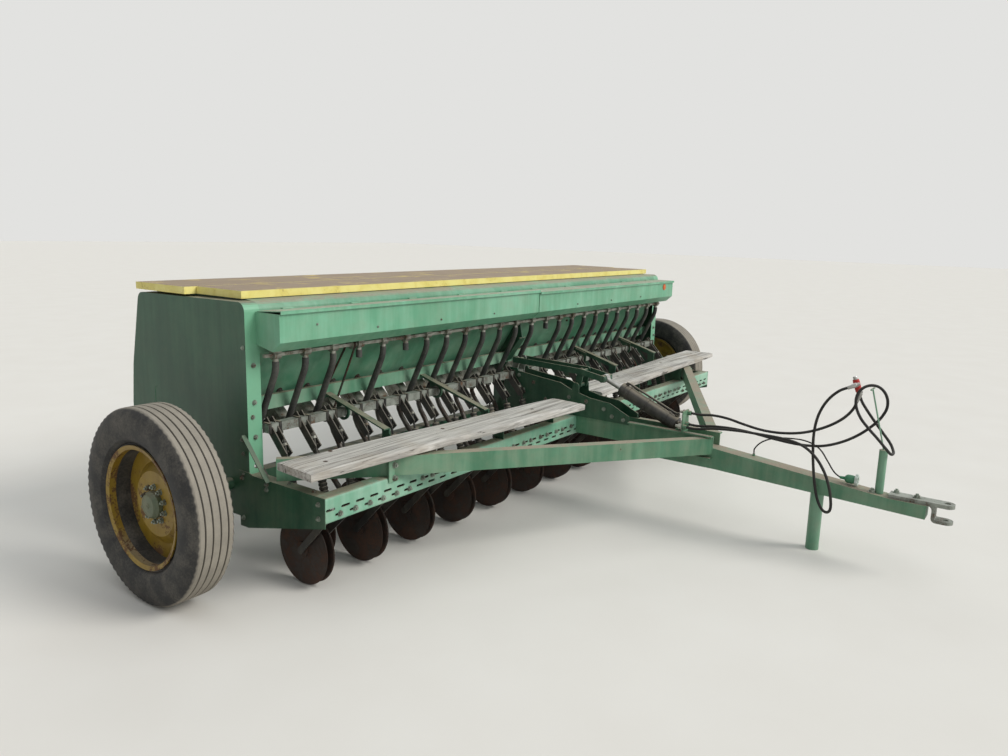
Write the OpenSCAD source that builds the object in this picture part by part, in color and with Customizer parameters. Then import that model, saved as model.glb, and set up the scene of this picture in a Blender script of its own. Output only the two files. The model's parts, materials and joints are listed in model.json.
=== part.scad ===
// Seed drill with 24 rows: a towed grain drill with a small-seed box in front,
// disc openers on a hydraulic lift, two end wheels and a parking stand.
// Millimetres. X runs along the rows, the hitch points to -Y, the ground is Z = 0.
// Y is measured from the front face of the small-seed box and then centred.

/* [Rows] */
// Number of rows (even)
rows = 24; // [12:2:28]
// Distance between rows
row_pitch = 177.8; // [165:1:190]
// Gap in the row line at the middle of the machine
row_gap = 14; // [0:2:30]

/* [Grain box] */
// Overhang of the end panel's outer face past the row width
panel_over = 46; // [40:1:60]
// Sheet thickness of panels and boxes
sheet = 4; // [3:0.5:6]
// Width of the end panel's front flange
panel_flange = 79; // [60:1:95]
// Front edge of the end panel
panel_y0 = 172; // [165:1:185]
// Rear edge of the end panel at its foot
panel_y1 = 1179; // [1120:1:1240]
// Top of the end panel
panel_top = 1340; // [1300:1:1380]
// Bottom of the end panel
panel_foot = 300; // [280:5:340]
// Corner radius of the end panel
panel_r = 45; // [20:1:60]
// Depth of the lid's turned-down edge
lid_edge = 36; // [25:1:45]
// Front edge of the front lid
lid_y0 = 267; // [250:1:290]
// Line between the two lids
lid_split_y = 625; // [560:5:700]
// Rear edge of the rear lid
lid_y1 = 1065; // [1000:5:1090]
// Gap between the end panel's top and the lids
lid_gap = 8; // [7:1:14]
// Height of the grain box's bottom
hopper_foot = 800; // [770:5:820]

/* [Small-seed box] */
// Height of the box's front wall
seed_box_h = 131; // [100:1:150]
// Depth of the box from front to back
seed_box_d = 172; // [140:1:180]
// Height of the box's top
seed_box_top = 1295; // [1250:1:1300]
// Drop of the box's vee bottom below its front wall
seed_vee = 46; // [30:1:60]
// Angle at which the left half's lid stands open
lid_ajar = 4; // [0:1:8]
// Height of the small-seed feed shaft
seed_shaft_z = 1092; // [1080:1:1096]
// Place of the feed shaft behind the box's front face
seed_shaft_y = 121; // [100:1:135]
// Diameter of the small-seed tubes
tube_d = 34; // [24:1:38]

/* [Front frame] */
// Front face of the slotted front rail
rail_y = -358; // [-380:1:-340]
// Bottom of the front rail
rail_z0 = 402; // [390:1:420]
// Height of the front rail
rail_h = 122; // [100:1:140]
// Width of the front rail's flanges
rail_flange = 66; // [50:1:90]
// Plank width
plank_w = 250; // [200:1:280]
// Plank thickness
plank_t = 39; // [30:1:45]
// Height of the planks' tops
plank_top = 669; // [650:1:690]

/* [Hitch] */
// Distance of the clevis pin hole in front of the tongue's tip
pin_ahead = 88; // [60:4:120]
// Diameter of the clevis pin hole
pin_d = 28; // [22:1:36]
// Width of the tongue
tongue_w = 100; // [80:1:120]
// Tip of the tongue
tongue_y0 = -2412; // [-2430:1:-2390]
// Rear end of the tongue
tongue_y1 = -705; // [-760:5:-640]
// Height of the tongue's rear part
tongue_h = 123; // [110:1:140]
// Height of the tongue at its tip
tongue_tip_h = 72; // [60:1:90]
// Top of the tongue at its tip
tongue_tip_z = 384; // [360:1:400]
// Diameter of the parking stand
stand_d = 70; // [50:1:80]
// Place of the parking stand
stand_y = -1875; // [-1950:5:-1800]

/* [Wheels] */
// Outer diameter of the tyres
tyre_d = 900; // [880:2:930]
// Width over the tyre's tread
tread_w = 176; // [150:2:200]
// Distance of the wheel's centre plane from the machine's middle
wheel_x = 2560; // [2520:5:2600]
// Place of the axle behind the small-seed box's face
axle_y = 323; // [300:1:340]
// Diameter of the rim's flange
rim_d = 566; // [540:2:580]

/* [Openers and lift] */
// Diameter of the opener discs
disc_d = 343; // [320:1:360]
// Thickness of the opener discs
disc_t = 4; // [3:0.5:5]
// Clearance of the discs above the ground
disc_clear = 8; // [6:1:20]
// Place of the front rank's disc centres
front_disc_y = -75; // [-90:1:-60]
// Place of the rear rank's disc centres
rear_disc_y = 115; // [105:1:130]
// Place of the drawbar pins
drawbar_y = -318; // [-325:1:-312]
// Height of the drawbar pins
drawbar_z = 428; // [422:1:440]
// Place of the rockshaft
rock_y = 160; // [150:1:170]
// Height of the rockshaft
rock_z = 735; // [725:1:745]
// Side of the square rockshaft
rock_w = 44; // [36:1:50]
// Place of the rod trunnions
trunnion_y = 60; // [50:1:70]
// Height of the rod trunnions
trunnion_z = 625; // [615:1:635]
// Place of the pressure rods' lower pins
rod_pin_y = -20; // [-30:1:-10]
// Height of the pressure rods' lower pins
rod_pin_z = 320; // [310:1:330]
// Wire coil diameter of the pressure springs
spring_d = 44; // [36:1:48]
// Height of the lift link's pins above the shaft and the hanger's foot
lift_arm = 97; // [90:1:110]
// Place of the cylinder's rod pin
cyl_rod_y = -524; // [-530:1:-518]
// Height of the cylinder's rod pin
cyl_rod_z = 785; // [780:1:790]
// Place of the cylinder's base pin
cyl_base_y = -1062; // [-1070:1:-1050]
// Height of the cylinder's base pin
cyl_base_z = 551; // [545:1:560]
// Diameter of the cylinder's barrel
cyl_d = 90; // [80:1:110]
// Length of the barrel from its pin
cyl_len = 455; // [430:1:470]
// Diameter of the piston rod
cyl_rod_d = 32; // [28:1:36]

/* [Hidden] */

$fn = 48;
green = "#2f8f57";
dark_green = "#123524";
light_green = "#7cc79a";
yellow = "#e3c92b";
rust = "#5a3a2a";
black = "#1c1c1e";
steel = "#b9bcc0";
wood = "#a9a59c";

// Running clearances
fit = 0.3;
run_gap = 6;

// Widths that follow the rows
half_w = rows * row_pitch / 2;
panel_x = half_w + panel_over;
seed_end_x = half_w - 15;
inner_x = panel_x - sheet;
hopper_x = panel_x - panel_flange;

// The whole machine is centred between the clevis and the end panels
clevis_r = 38;
pin_y = tongue_y0 - pin_ahead;
clevis_tip = pin_y - clevis_r + 4;
mid_y = (clevis_tip + panel_y1) / 2;
module centred() { translate([0, -mid_y, 0]) children(); }

function row_x(i) = (i - (rows - 1) / 2) * row_pitch + sign(i - (rows - 1) / 2) * row_gap / 2;
function arc(c, r, a0, a1, n = 6) =
    [for (k = [0:n]) c + r * [cos(a0 + (a1 - a0) * k / n), sin(a0 + (a1 - a0) * k / n)]];
// Section of a folded sheet: a path and the same path moved t to its left
function left_of(a, b) = [a[1] - b[1], b[0] - a[0]] / norm(b - a);
function moved(path, t) = let (e = len(path) - 1) [for (k = [0:e])
    let (n1 = left_of(path[max(k - 1, 0)], path[max(k, 1)]), n2 = left_of(path[min(k, e - 1)], path[min(k + 1, e)]))
    path[k] + t * (n1 + n2) / (1 + n1 * n2)];
function folded(path, t) = let (inner = moved(path, t)) concat(path, [for (k = [len(path) - 1:-1:0]) inner[k]]);
// Straight line through two points, read at y
function line_z(a, b, y) = a[1] + (b[1] - a[1]) * (y - a[0]) / (b[0] - a[0]);

// A (y, z) outline extruded along X, from x0 over a length
module slab(outline, x0, len) {
    translate([x0, 0, 0]) rotate([90, 0, 90]) linear_extrude(len) polygon(outline);
}
// The same, len wide and centred on x
module plate(outline, x, len) { slab(outline, x - len / 2, len); }
// A round bar from p to q
module rod_between(p, q, d) {
    v = q - p;
    translate(p) rotate([0, acos(v[2] / norm(v)), atan2(v[1], v[0])]) cylinder(h = norm(v), d = d);
}
// A square or flat bar from p to q, w wide and t high
module bar_between(p, q, w, t) {
    v = q - p;
    translate(p) rotate([0, acos(v[2] / norm(v)), atan2(v[1], v[0])])
        translate([-t / 2, -w / 2, 0]) cube([t, w, norm(v)]);
}
// A pin along X, centred on x
module pin_x(x, y, z, d, len) {
    translate([x - len / 2, y, z]) rotate([0, 90, 0]) cylinder(h = len, d = d);
}
// A flat link with round ends: p and q are (y, z)
module link_bar(x, p, q, w, t) {
    lean = atan2(q[1] - p[1], q[0] - p[0]);
    plate(concat(arc(q, w / 2, lean - 90, lean + 90, 10), arc(p, w / 2, lean + 90, lean + 270, 10)), x, t);
}
module both_sides() { children(); mirror([1, 0, 0]) children(); }

// End panels: formed sheets with the rim turned inwards and a pressed field
press = 1.5;
press_y0 = 424;
press_y1 = 957;
function panel_outline(d) = concat(
    [[panel_y0 + d, panel_foot + d], [panel_y1 - d, panel_foot + d], [panel_y1 - d, 730],
     [panel_y1 - 24 - d, 942]],
    arc([1030 - d, panel_top - panel_r - 8], panel_r, 12, 90),
    arc([panel_y0 + panel_r + d, panel_top - panel_r - d], panel_r, 90, 180));
function pressed_outline(d) = concat(
    arc([press_y1 - 30, 820], 30 - d, 0, 90), arc([press_y0 + 30, 825], 30 - d, 90, 180),
    arc([press_y0 + 30, 410], 30 - d, 180, 270), arc([press_y1 - 30, 410], 30 - d, 270, 360));
module end_panel() {
    difference() {
        slab(panel_outline(0), hopper_x, panel_flange);
        slab(panel_outline(sheet), hopper_x - 1, panel_flange - sheet + 1);
        slab(pressed_outline(0), panel_x - press, press + 1);
        pin_x(panel_x, axle_y, tyre_r, spindle_d + 2 * fit, 20);
        // crescent hole in the front flange
        translate([panel_x - panel_flange / 2, panel_y0 + sheet + 1, 560]) rotate([90, 0, 0])
            cylinder(h = sheet + 2, d = 26);
    }
    slab(pressed_outline(0), inner_x - press, press);
}
module end_panel_left() color(green) centred() mirror([1, 0, 0]) end_panel();
module end_panel_right() color(green) centred() end_panel();

// Grain box: one sheet folded into a trough for grain in front and one behind
lid_z0 = panel_top + lid_gap;
lid_z = lid_z0 + lid_edge;
rim_z = lid_z - sheet - fit;
rim_y0 = lid_y0 + 14;
rim_y1 = lid_y1 - 44;
ridge = [lid_split_y - 14, lid_split_y + 14, 1000];
slope_top = [panel_y0, 1100];
slope_foot = [360, hopper_foot];
hopper_path = concat(
    [[rim_y0, rim_z], [rim_y0, panel_top + 5]], arc([panel_y0 + panel_r, panel_top - panel_r], panel_r, 90, 180),
    [slope_top, slope_foot, [470, hopper_foot], [ridge[0], ridge[2]], [ridge[1], ridge[2]],
     [745, hopper_foot], [860, hopper_foot], [rim_y1, 1080], [rim_y1, rim_z]]);
module grain_box() color(green) centred()
    slab(folded(hopper_path, sheet), -hopper_x + sheet, 2 * (hopper_x - sheet));

// End walls of the grain box, and the wall between its troughs with the strip that the lids meet on;
// the end walls are notched round the lids' inner edges and the front one's swing
strip_z = lid_z0 - fit;
strip_y = 13;
wall_path = concat(hopper_path, [[lid_split_y + strip_y, rim_z], [lid_split_y + strip_y, strip_z],
                                 [lid_split_y - lid_edge - 6, strip_z], [lid_split_y - lid_edge - 6, rim_z]]);
module box_walls() color(green) centred() {
    both_sides() slab(wall_path, hopper_x - sheet, sheet);
    translate([0, lid_split_y, 0])
        slab([[-sheet / 2, ridge[2] + sheet], [sheet / 2, ridge[2] + sheet], [sheet / 2, strip_z - sheet],
              [strip_y, strip_z - sheet], [strip_y, strip_z], [-strip_y, strip_z], [-strip_y, strip_z - sheet],
              [-sheet / 2, strip_z - sheet]], -hopper_x + sheet, 2 * (hopper_x - sheet));
}

// Lids: shallow pans with their edge turned down
module lid_pan(y0, y1, x1) {
    difference() {
        translate([-x1, y0, lid_z0]) cube([2 * x1, y1 - y0, lid_edge]);
        translate([-x1 + sheet, y0 + sheet, lid_z0 - 1])
            cube([2 * (x1 - sheet), y1 - y0 - 2 * sheet, lid_edge - sheet + 1]);
    }
}
module front_lid() color(yellow) centred() lid_pan(lid_y0, lid_split_y - 3, half_w - 10);
module rear_lid() color(yellow) centred() lid_pan(lid_split_y + 3, lid_y1, panel_x + 10);

// Rails between the end panels and the centre bulkhead, and behind the rear trough
bulk_t = 10;
rail_box_y = 252;
rail_box_z = 870;
module box_rails() color(light_green) centred() {
    both_sides() slab(folded([[rail_box_y + 30, rail_box_z], [rail_box_y, rail_box_z], [rail_box_y, rail_box_z - 70],
                              [rail_box_y + 30, rail_box_z - 70]], sheet), bulk_t / 2, inner_x - bulk_t / 2);
    slab(folded([[932, 846], [892, 846], [892, 780], [932, 780]], sheet), -inner_x + press, 2 * (inner_x - press));
}

// Centre bulkhead: the plate that carries the box at the middle
axle_w = 70;
axle_top = tyre_d / 2 + axle_w / 2;
feed_y = 335;
feed_z = 705;
feed_shaft_d = 16;
module centre_bulkhead() color(dark_green) centred() {
    difference() {
        plate([slope_top, [150, 1080], [126, 978], [287, 750], [287, axle_top], [axle_y + axle_w / 2, axle_top],
               [axle_y + axle_w / 2, 640], [402, 760], [470, 770], [470, hopper_foot], slope_foot], 0, bulk_t);
        pin_x(0, feed_y, feed_z, feed_shaft_d + 2 * fit, 30);
    }
    plate(folded([[243, 812], [126, 978]], -6), 0, 70);
}

// Front rail: a channel with round corners, and the ears that carry the drawbars
rail_t = 6;
rail_r = 14;
rail_z1 = rail_z0 + rail_h;
rail_back = rail_y + rail_flange;
strap_x = 60;
strap_t = 8;
strap_w = 34;
drawbar_pin = 16;
ear_t = 6;
ear_gap = 1.5;
ear_x = strap_x + strap_t / 2 + ear_gap;
slot_h = 12;
// each row: height over the rail's foot, first place from the left end, length
slot_rows = [[63, 30, 54], [33, 78, 50]];
module slot(w) {
    rotate([90, 0, 0]) linear_extrude(3 * rail_t, center = true)
        polygon(concat(arc([(w - slot_h) / 2, 0], slot_h / 2, -90, 90, 4), arc([(slot_h - w) / 2, 0], slot_h / 2, 90, 270, 4)));
}
module front_rail() color(light_green) centred() {
    difference() {
        slab(folded(concat([[rail_back, rail_z1]], arc([rail_y + rail_r, rail_z1 - rail_r], rail_r, 90, 180),
                           arc([rail_y + rail_r, rail_z0 + rail_r], rail_r, 180, 270), [[rail_y + 18, rail_z0]]), rail_t),
             -panel_x, 2 * panel_x);
        for (s = slot_rows, x = [-panel_x + s[1]:row_pitch / 2:panel_x - 30])
            translate([x, rail_y + rail_t / 2, rail_z0 + s[0]]) slot(s[2]);
    }
    for (i = [0:rows - 1]) translate([row_x(i), 0, 0]) {
        both_sides() {
            translate([ear_x, rail_y + rail_t, drawbar_z - strap_w / 2])
                cube([ear_t, drawbar_y - rail_y - rail_t, strap_w]);
            pin_x(ear_x + ear_t / 2, drawbar_y, drawbar_z, strap_w, ear_t);
        }
        pin_x(0, drawbar_y, drawbar_z, drawbar_pin, 2 * (ear_x + ear_t));
    }
}

// Corner brackets join the front rail to the end panels: a side plate with a flange on top,
// and a strap with a folded edge up to the panel's front
strap_top = [panel_y0 + 20, 716];
strap_foot = [18, rail_z1 - 4];
strap_edge = 24;
module corner_brackets() color(dark_green) centred() both_sides() {
    slab([[rail_y, rail_z0 - 17], [190, 254], [250, 254], [250, 533], [panel_y0, 533], [panel_y0 - 30, rail_z1],
          [rail_y, rail_z1]], panel_x, sheet);
    translate([panel_x - 56, rail_back, rail_z1 - sheet]) cube([56 + sheet, panel_y0 - rail_back, sheet]);
    slab([strap_top, strap_top - [0, 40], strap_foot + [40, 0], strap_foot], panel_x, sheet);
    slab([strap_top, strap_top - [0, 5], strap_foot + [5, 0], strap_foot], panel_x, strap_edge);
}

// Main axle: square tube between the end panels with the wheel spindles
spindle_d = 60;
spindle_x = wheel_x + 37;
module main_axle() color(dark_green) centred() {
    difference() {
        translate([-inner_x, axle_y - axle_w / 2, tyre_r - axle_w / 2]) cube([2 * inner_x, axle_w, axle_w]);
        translate([-inner_x - 1, axle_y - axle_w / 2 + 6, tyre_r - axle_w / 2 + 6])
            cube([2 * inner_x + 2, axle_w - 12, axle_w - 12]);
    }
    both_sides() pin_x((spindle_x + inner_x - 200) / 2, axle_y, tyre_r, spindle_d, spindle_x - inner_x + 200);
}

// Footboard planks lie a little askew: centre, half length, turn
plank_z0 = plank_top - plank_t;
plank_a = [-1276, -346, 1000, -4.65];
plank_b = [1222, -260, 1120, 3.15];
module plank(p) {
    translate([p[0], p[1], plank_z0]) rotate([0, 0, p[3]])
        translate([-p[2], -plank_w / 2, 0]) cube([2 * p[2], plank_w, plank_t]);
}
function plank_rear(p, x) = p[1] + plank_w / 2 / cos(p[3]) + tan(p[3]) * (x - p[0]);
module plank_left() color(wood) centred() plank(plank_a);
module plank_right() color(wood) centred() plank(plank_b);

// Brace angles run from the box rail down to brackets on the front rail that carry the planks
brace_top = [rail_box_y, 828];
brace_slope = 0.285;
brace_h = 30;
function brace_z(y) = brace_top[1] - brace_slope * (brace_top[0] - y);
bearing_r = rock_w / sqrt(2) + fit;
// each row: brace place, plank
brace_rows = [[-1605, plank_a], [-860, plank_a], [860, plank_b], [1605, plank_b]];
module brace(x, side, end_y) {
    slab([brace_top, [end_y, brace_z(end_y)], [end_y, brace_z(end_y) - brace_h], brace_top - [0, brace_h]], x - 3, 6);
    slab([brace_top, [end_y, brace_z(end_y)], [end_y, brace_z(end_y) - 6], brace_top - [0, 6]],
         side < 0 ? x - 37 : x - 3, 40);
    // bearing plate round the rockshaft
    difference() {
        slab(concat(arc([rock_y, rock_z], 46, 180, 360, 12), [[rock_y + 46, brace_z(rock_y + 46) - 8],
                    [rock_y - 46, brace_z(rock_y - 46) - 8]]), side < 0 ? x + 3 : x - 13, 10);
        pin_x(x, rock_y, rock_z, 2 * bearing_r, 40);
    }
    // bracket on the front rail, with an ear up to the brace
    slab([[rail_y + 6, rail_z1], [rail_back, rail_z1], [end_y + 20, plank_z0 - 30], [end_y + 55, plank_z0 - 6],
          [end_y + 55, brace_z(end_y + 55) - 3], [end_y, brace_z(end_y) - 3], [end_y, plank_z0],
          [rail_y + 6, plank_z0]], side < 0 ? x + 3 : x - 9, 6);
    translate([x - 30, rail_y + 6, plank_z0 - 6]) cube([60, end_y - rail_y - 6, 6]);
}
module brace_angles() color(dark_green) centred() {
    for (b = brace_rows) brace(b[0], sign(b[0]), plank_rear(b[1], b[0]) + 10);
    for (x = [-330, 330]) {
        slab([[rail_y + 6, rail_z1], [rail_back, rail_z1], [-235, plank_z0 - 30], [-235, plank_z0],
              [rail_y + 6, plank_z0]], x - 3, 6);
        translate([x - 30, rail_y + 6, plank_z0 - 6]) cube([60, -235 - rail_y - 6, 6]);
    }
}

// Small-seed tubes: each leaves its spout, bends to the rear and ends in its feed cup's socket
tube_top = 1060;
tube_bend_r = 150;
tube_lean = 26;
tube_run = 318;
bend_end = [seed_shaft_y + tube_bend_r * (1 - cos(tube_lean)), tube_top - 10 - tube_bend_r * sin(tube_lean)];
bare_rows = [3, 5, 13];
module along_tube() translate([0, bend_end[0], bend_end[1]]) rotate([180 + tube_lean, 0, 0]) children();
module seed_tube() {
    translate([0, seed_shaft_y, tube_top - 10]) cylinder(h = 10, d = tube_d);
    translate([0, seed_shaft_y + tube_bend_r, tube_top - 10]) rotate([0, 90, 0]) rotate([0, 0, -90])
        rotate_extrude(angle = tube_lean) translate([tube_bend_r, 0]) circle(d = tube_d);
    along_tube() cylinder(h = tube_run, d = tube_d);
}
module seed_tubes() color(black) centred()
    for (i = [0:rows - 1]) translate([row_x(i), 0, 0])
        if (len(search(i, bare_rows)) > 0) translate([0, seed_shaft_y, tube_top - 40]) cylinder(h = 40, d = tube_d);
        else seed_tube();

// Grain feed cups under the front trough, one per row, on one shaft, and plain outlets under the rear one
cup_w = 64;
chain_x = (row_x(2) + row_x(3)) / 2 + 34;
sprocket_low_r = 52;
sprocket_top_r = 24;
module feed_cups() color(black) centred() {
    for (i = [0:rows - 1]) translate([row_x(i), 0, 0]) {
        difference() {
            union() {
                plate([[366, hopper_foot], [452, hopper_foot], [436, 748], [384, 676], [290, 676], [290, 735]], 0, cup_w);
                along_tube() translate([0, 0, tube_run - 24]) cylinder(h = 30, d = tube_d + 8);
            }
            along_tube() translate([0, 0, tube_run - 40]) cylinder(h = 40 + fit, d = tube_d + 2 * fit);
        }
        translate([0, 345, 640]) cylinder(h = 40, d = 50);
        plate([[752, hopper_foot], [848, hopper_foot], [848, 770], [820, 742], [780, 742], [752, 770]], 0, 56);
        translate([0, 800, 704]) cylinder(h = 40, d = 40);
    }
    pin_x(0, feed_y, feed_z, feed_shaft_d, 2 * inner_x);
    pin_x(chain_x, feed_y, feed_z, 2 * sprocket_low_r, 6);
}

// Small-seed box halves: vee-bottomed troughs that hang on the grain box's front
seed_y0 = panel_y0 - seed_box_d;
seed_z0 = seed_box_top - seed_box_h;
vee = [seed_y0 + 53, seed_z0 - seed_vee];
vee_back = [panel_y0, seed_z0 - 22];
lid_back = panel_y0 - 12;
seed_path = [[seed_y0, seed_box_top], [seed_y0, seed_z0], vee, vee_back, [panel_y0, seed_box_top],
             [lid_back - 4, seed_box_top]];
// One flat wall of a folded box, a hair short of its neighbours
function wall(path, k, t) = let (inner = moved(path, t), a = unit(path[k + 1] - path[k]) * fit / 2)
    [path[k] + a, path[k + 1] - a, inner[k + 1] - a, inner[k] + a];
module seed_box() {
    for (k = [0:len(seed_path) - 2])
        slab(wall(seed_path, k, sheet), 4 + sheet + fit, seed_end_x - 4 - 2 * (sheet + fit));
    for (x = [4, seed_end_x - sheet]) slab(seed_path, x, sheet);
}
module seed_box_left() color(green) centred() mirror([1, 0, 0]) seed_box();
module seed_box_right() color(green) centred() seed_box();

// Small-seed lids, hinged at the rear edge; the left one stands a little open
lid_reach = seed_y0 - lid_back - 8 - sheet;
module seed_lid(angle) {
    translate([0, lid_back, seed_box_top + fit + sheet / 2]) rotate([-angle, 0, 0]) {
        slab([[0, -sheet / 2], [lid_reach, -sheet / 2], [lid_reach, sheet / 2], [0, sheet / 2]], 4, seed_end_x - 4);
        slab([[lid_reach + sheet, -14], [lid_reach, -14], [lid_reach, -sheet / 2 - fit],
              [lid_reach + sheet, -sheet / 2 - fit]], 4, seed_end_x - 4);
    }
}
module seed_lid_left() color(green) centred() mirror([1, 0, 0]) seed_lid(lid_ajar);
module seed_lid_right() color(green) centred() seed_lid(0);

// Small-seed feed: square shaft, one cup per row with its bracket and spout, and the chain's sprocket
module seed_feed() color(steel) centred() {
    translate([-seed_end_x, seed_shaft_y - 8, seed_shaft_z - 8]) cube([2 * seed_end_x, 16, 16]);
    for (i = [0:rows - 1]) translate([row_x(i), 0, 0]) {
        pin_x(0, seed_shaft_y, seed_shaft_z, 46, 40);
        plate([[seed_shaft_y - 20, seed_shaft_z], [seed_shaft_y + 20, seed_shaft_z],
               [seed_shaft_y + 20, line_z(vee, vee_back, seed_shaft_y + 20) - fit],
               [seed_shaft_y - 20, line_z(vee, vee_back, seed_shaft_y - 20) - fit]], 0, 40);
        translate([0, seed_shaft_y, tube_top]) cylinder(h = seed_shaft_z - tube_top, d = 28);
    }
    pin_x(chain_x, seed_shaft_y, seed_shaft_z, 2 * sprocket_top_r, 6);
}

// Roller chain from the feed shaft up to the small-seed shaft
function belt(a, ra, b, rb) = let (v = b - a, dir = atan2(v[1], v[0]), t = acos((ra - rb) / norm(v)))
    concat(arc(a, ra, dir + t, dir + 360 - t, 24), arc(b, rb, dir - t, dir + t, 24));
module drive_chains() color(rust) centred() difference() {
    plate(belt([seed_shaft_y, seed_shaft_z], sprocket_top_r + fit + 8, [feed_y, feed_z], sprocket_low_r + fit + 8),
          chain_x, 10);
    plate(belt([seed_shaft_y, seed_shaft_z], sprocket_top_r + fit, [feed_y, feed_z], sprocket_low_r + fit),
          chain_x, 12);
}

// Hitch diagonals: box tubes from the beam's sides over the front rail, with a strut on to the corner bracket
diag_foot = [1741, -340, 577];
diag_head = [70, -1240, 488];
diag_w = 60;
diag_h = 96;
strut_foot = [2150, 10];
beam_x = tongue_w / 2;
beam_t = 8;
module hitch_diagonal() {
    difference() {
        bar_between(diag_foot, diag_head + (diag_head - diag_foot) * 0.05, diag_w, diag_h);
        bar_between(diag_foot, diag_head + (diag_head - diag_foot) * 0.06, diag_w - 10, diag_h - 10);
        translate([-beam_x - beam_t, -1500, 0]) cube([2 * (beam_x + beam_t), 600, 800]);
        translate([-200, -1500, 0]) cube([400, 217, 800]);
    }
    v = [strut_foot[0] - diag_foot[0], strut_foot[1] - diag_foot[1]];
    translate([diag_foot[0], diag_foot[1], rail_z1]) rotate([0, 0, atan2(v[1], v[0])])
        translate([0, -20, 0]) cube([norm(v), 40, plank_z0 - rail_z1]);
}
module hitch_diagonal_left() color(green) centred() mirror([1, 0, 0]) hitch_diagonal();
module hitch_diagonal_right() color(green) centred() hitch_diagonal();

// Beam behind the tongue: two channels back to back with the cylinder's base pin between them
beam_y0 = -1283;
beam_z0 = 412;
beam_z1 = 548;
plates_y0 = -740;
cyl_pin = 25;
hose_plate_y = -1105;
hose_plate_t = 6;
nut_d = 28;
nut_h = 20;
module hitch_beam() color(green) centred() {
    // plate for the hose fittings, with their nuts
    translate([-95, hose_plate_y, beam_z1 - 4]) cube([87, hose_plate_t, 131]);
    for (h = hoses) translate([h[0][0], hose_plate_y, h[0][2]]) rotate([90, 0, 0]) cylinder(h = nut_h, d = nut_d);
    both_sides() {
        translate([beam_x, beam_y0, beam_z0]) cube([beam_t, rail_y - beam_y0, beam_z1 - beam_z0]);
        for (z = [beam_z0, beam_z1 - beam_t])
            translate([beam_x, beam_y0, z]) cube([beam_t + 30, plates_y0 - 2 - beam_y0, beam_t]);
    }
    pin_x(0, cyl_base_y, cyl_base_z, cyl_pin, 2 * (beam_x + beam_t) + 16);
}

// Deep double plates at the middle carry the rockshaft and the lift
hanger_y = -348;
hanger_z = rock_z - 17;
pin_dy = -20;
centre_x = beam_x + beam_t;
hanger_pin = 25;
lug = [hanger_y, hanger_z];
module centre_plates() color(dark_green) centred() {
    difference() {
        both_sides() slab(concat(
            [[plates_y0, rail_z1], [-737, 578], [-601, 642], [-459, 655], [hanger_y - 24, 676]],
            arc(lug, 22, 170, 10), [[hanger_y + 30, 690], [-229, 726], [-71, 742], [108, 762], [118, rock_z + 46],
            [rock_y + 42, rock_z + 46], [rock_y + 50, rock_z - 30], [axle_y - axle_w / 2, axle_top],
            [axle_y - axle_w / 2, axle_top - 44], [200, 470], [rail_back, 500], [rail_back, rail_z1]]), centre_x, 8);
        pin_x(0, rock_y, rock_z, 2 * bearing_r, 200);
    }
    pin_x(0, hanger_y, hanger_z, hanger_pin, 2 * centre_x + 16);
}

// Tongue: a tapered channel, open below, that carries the stand's pin
tongue_flat = 182;
tongue_flat_y = tongue_y0 + tongue_flat;
tongue_rear_z = 474;
stand_pin = 20;
stand_pin_z = 370;
tongue_path = [[tongue_y1, tongue_rear_z], [-1289, tongue_rear_z], [tongue_flat_y, tongue_tip_z], [tongue_y0, tongue_tip_z]];
gland_z = tongue_rear_z - 25;
tongue_foot = [[tongue_y0, tongue_tip_z - tongue_tip_h], [-1289, tongue_rear_z - tongue_h], [tongue_y1, tongue_rear_z - tongue_h]];
module tongue() color(green) centred() {
    difference() {
        slab(concat(tongue_path, tongue_foot), -tongue_w / 2, tongue_w);
        slab([[tongue_y1 + 1, tongue_rear_z - rail_t], [-1289, tongue_rear_z - rail_t], [tongue_flat_y, tongue_tip_z - rail_t],
              [tongue_y0 + rail_t, tongue_tip_z - rail_t], [tongue_y0 + rail_t, 200], [tongue_y1 + 1, 200]],
             -tongue_w / 2 + rail_t, tongue_w - 2 * rail_t);
    }
    pin_x(0, stand_y, stand_pin_z, stand_pin, tongue_w + 16);
    // gland that the light lead leaves through
    translate([lead[0][0], lead[0][1], gland_z]) cylinder(h = lead[0][2] - gland_z, d = 16);
}

// Clevis: a thick upper plate on the tongue and an S-bent lower one
clevis_t = 20;
clevis_low_t = 16;
clevis_low_z = 300;
module hitch_clevis() color(rust) centred() difference() {
    union() {
        translate([-clevis_r, pin_y, tongue_tip_z]) cube([2 * clevis_r, tongue_flat_y - 2 - pin_y, clevis_t]);
        translate([0, pin_y + 4, tongue_tip_z]) cylinder(h = clevis_t, r = clevis_r);
        translate([0, pin_y + 4, clevis_low_z]) cylinder(h = clevis_low_t, r = clevis_r);
        plate(folded(concat([[pin_y + 4, clevis_low_z]], arc([tongue_y0 - 46, clevis_low_z + 22], 22, 270, 360),
                            arc([tongue_y0 - 2, tongue_tip_z - 22], 22, 180, 90, 3)),
                     clevis_low_t), 0, 2 * clevis_r);
    }
    translate([0, pin_y, clevis_low_z - 1]) cylinder(h = 140, d = pin_d);
}

// Hose support: a short tube on the tongue with a wire and a cross-bar in it
support_y = -2180;
support_d = 42;
support_top = 624;
wire_d = 8;
perch = [0, -2094, 936];
support_z = line_z(tongue_path[1], tongue_path[2], support_y + support_d / 2);
module hose_support() color(light_green) centred() {
    translate([0, support_y, support_z]) cylinder(h = support_top - support_z, d = support_d);
    rod_between([0, support_y, support_top - 4], perch, wire_d);
    pin_x(perch[0], perch[1], perch[2], wire_d + 1, 80);
}

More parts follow.
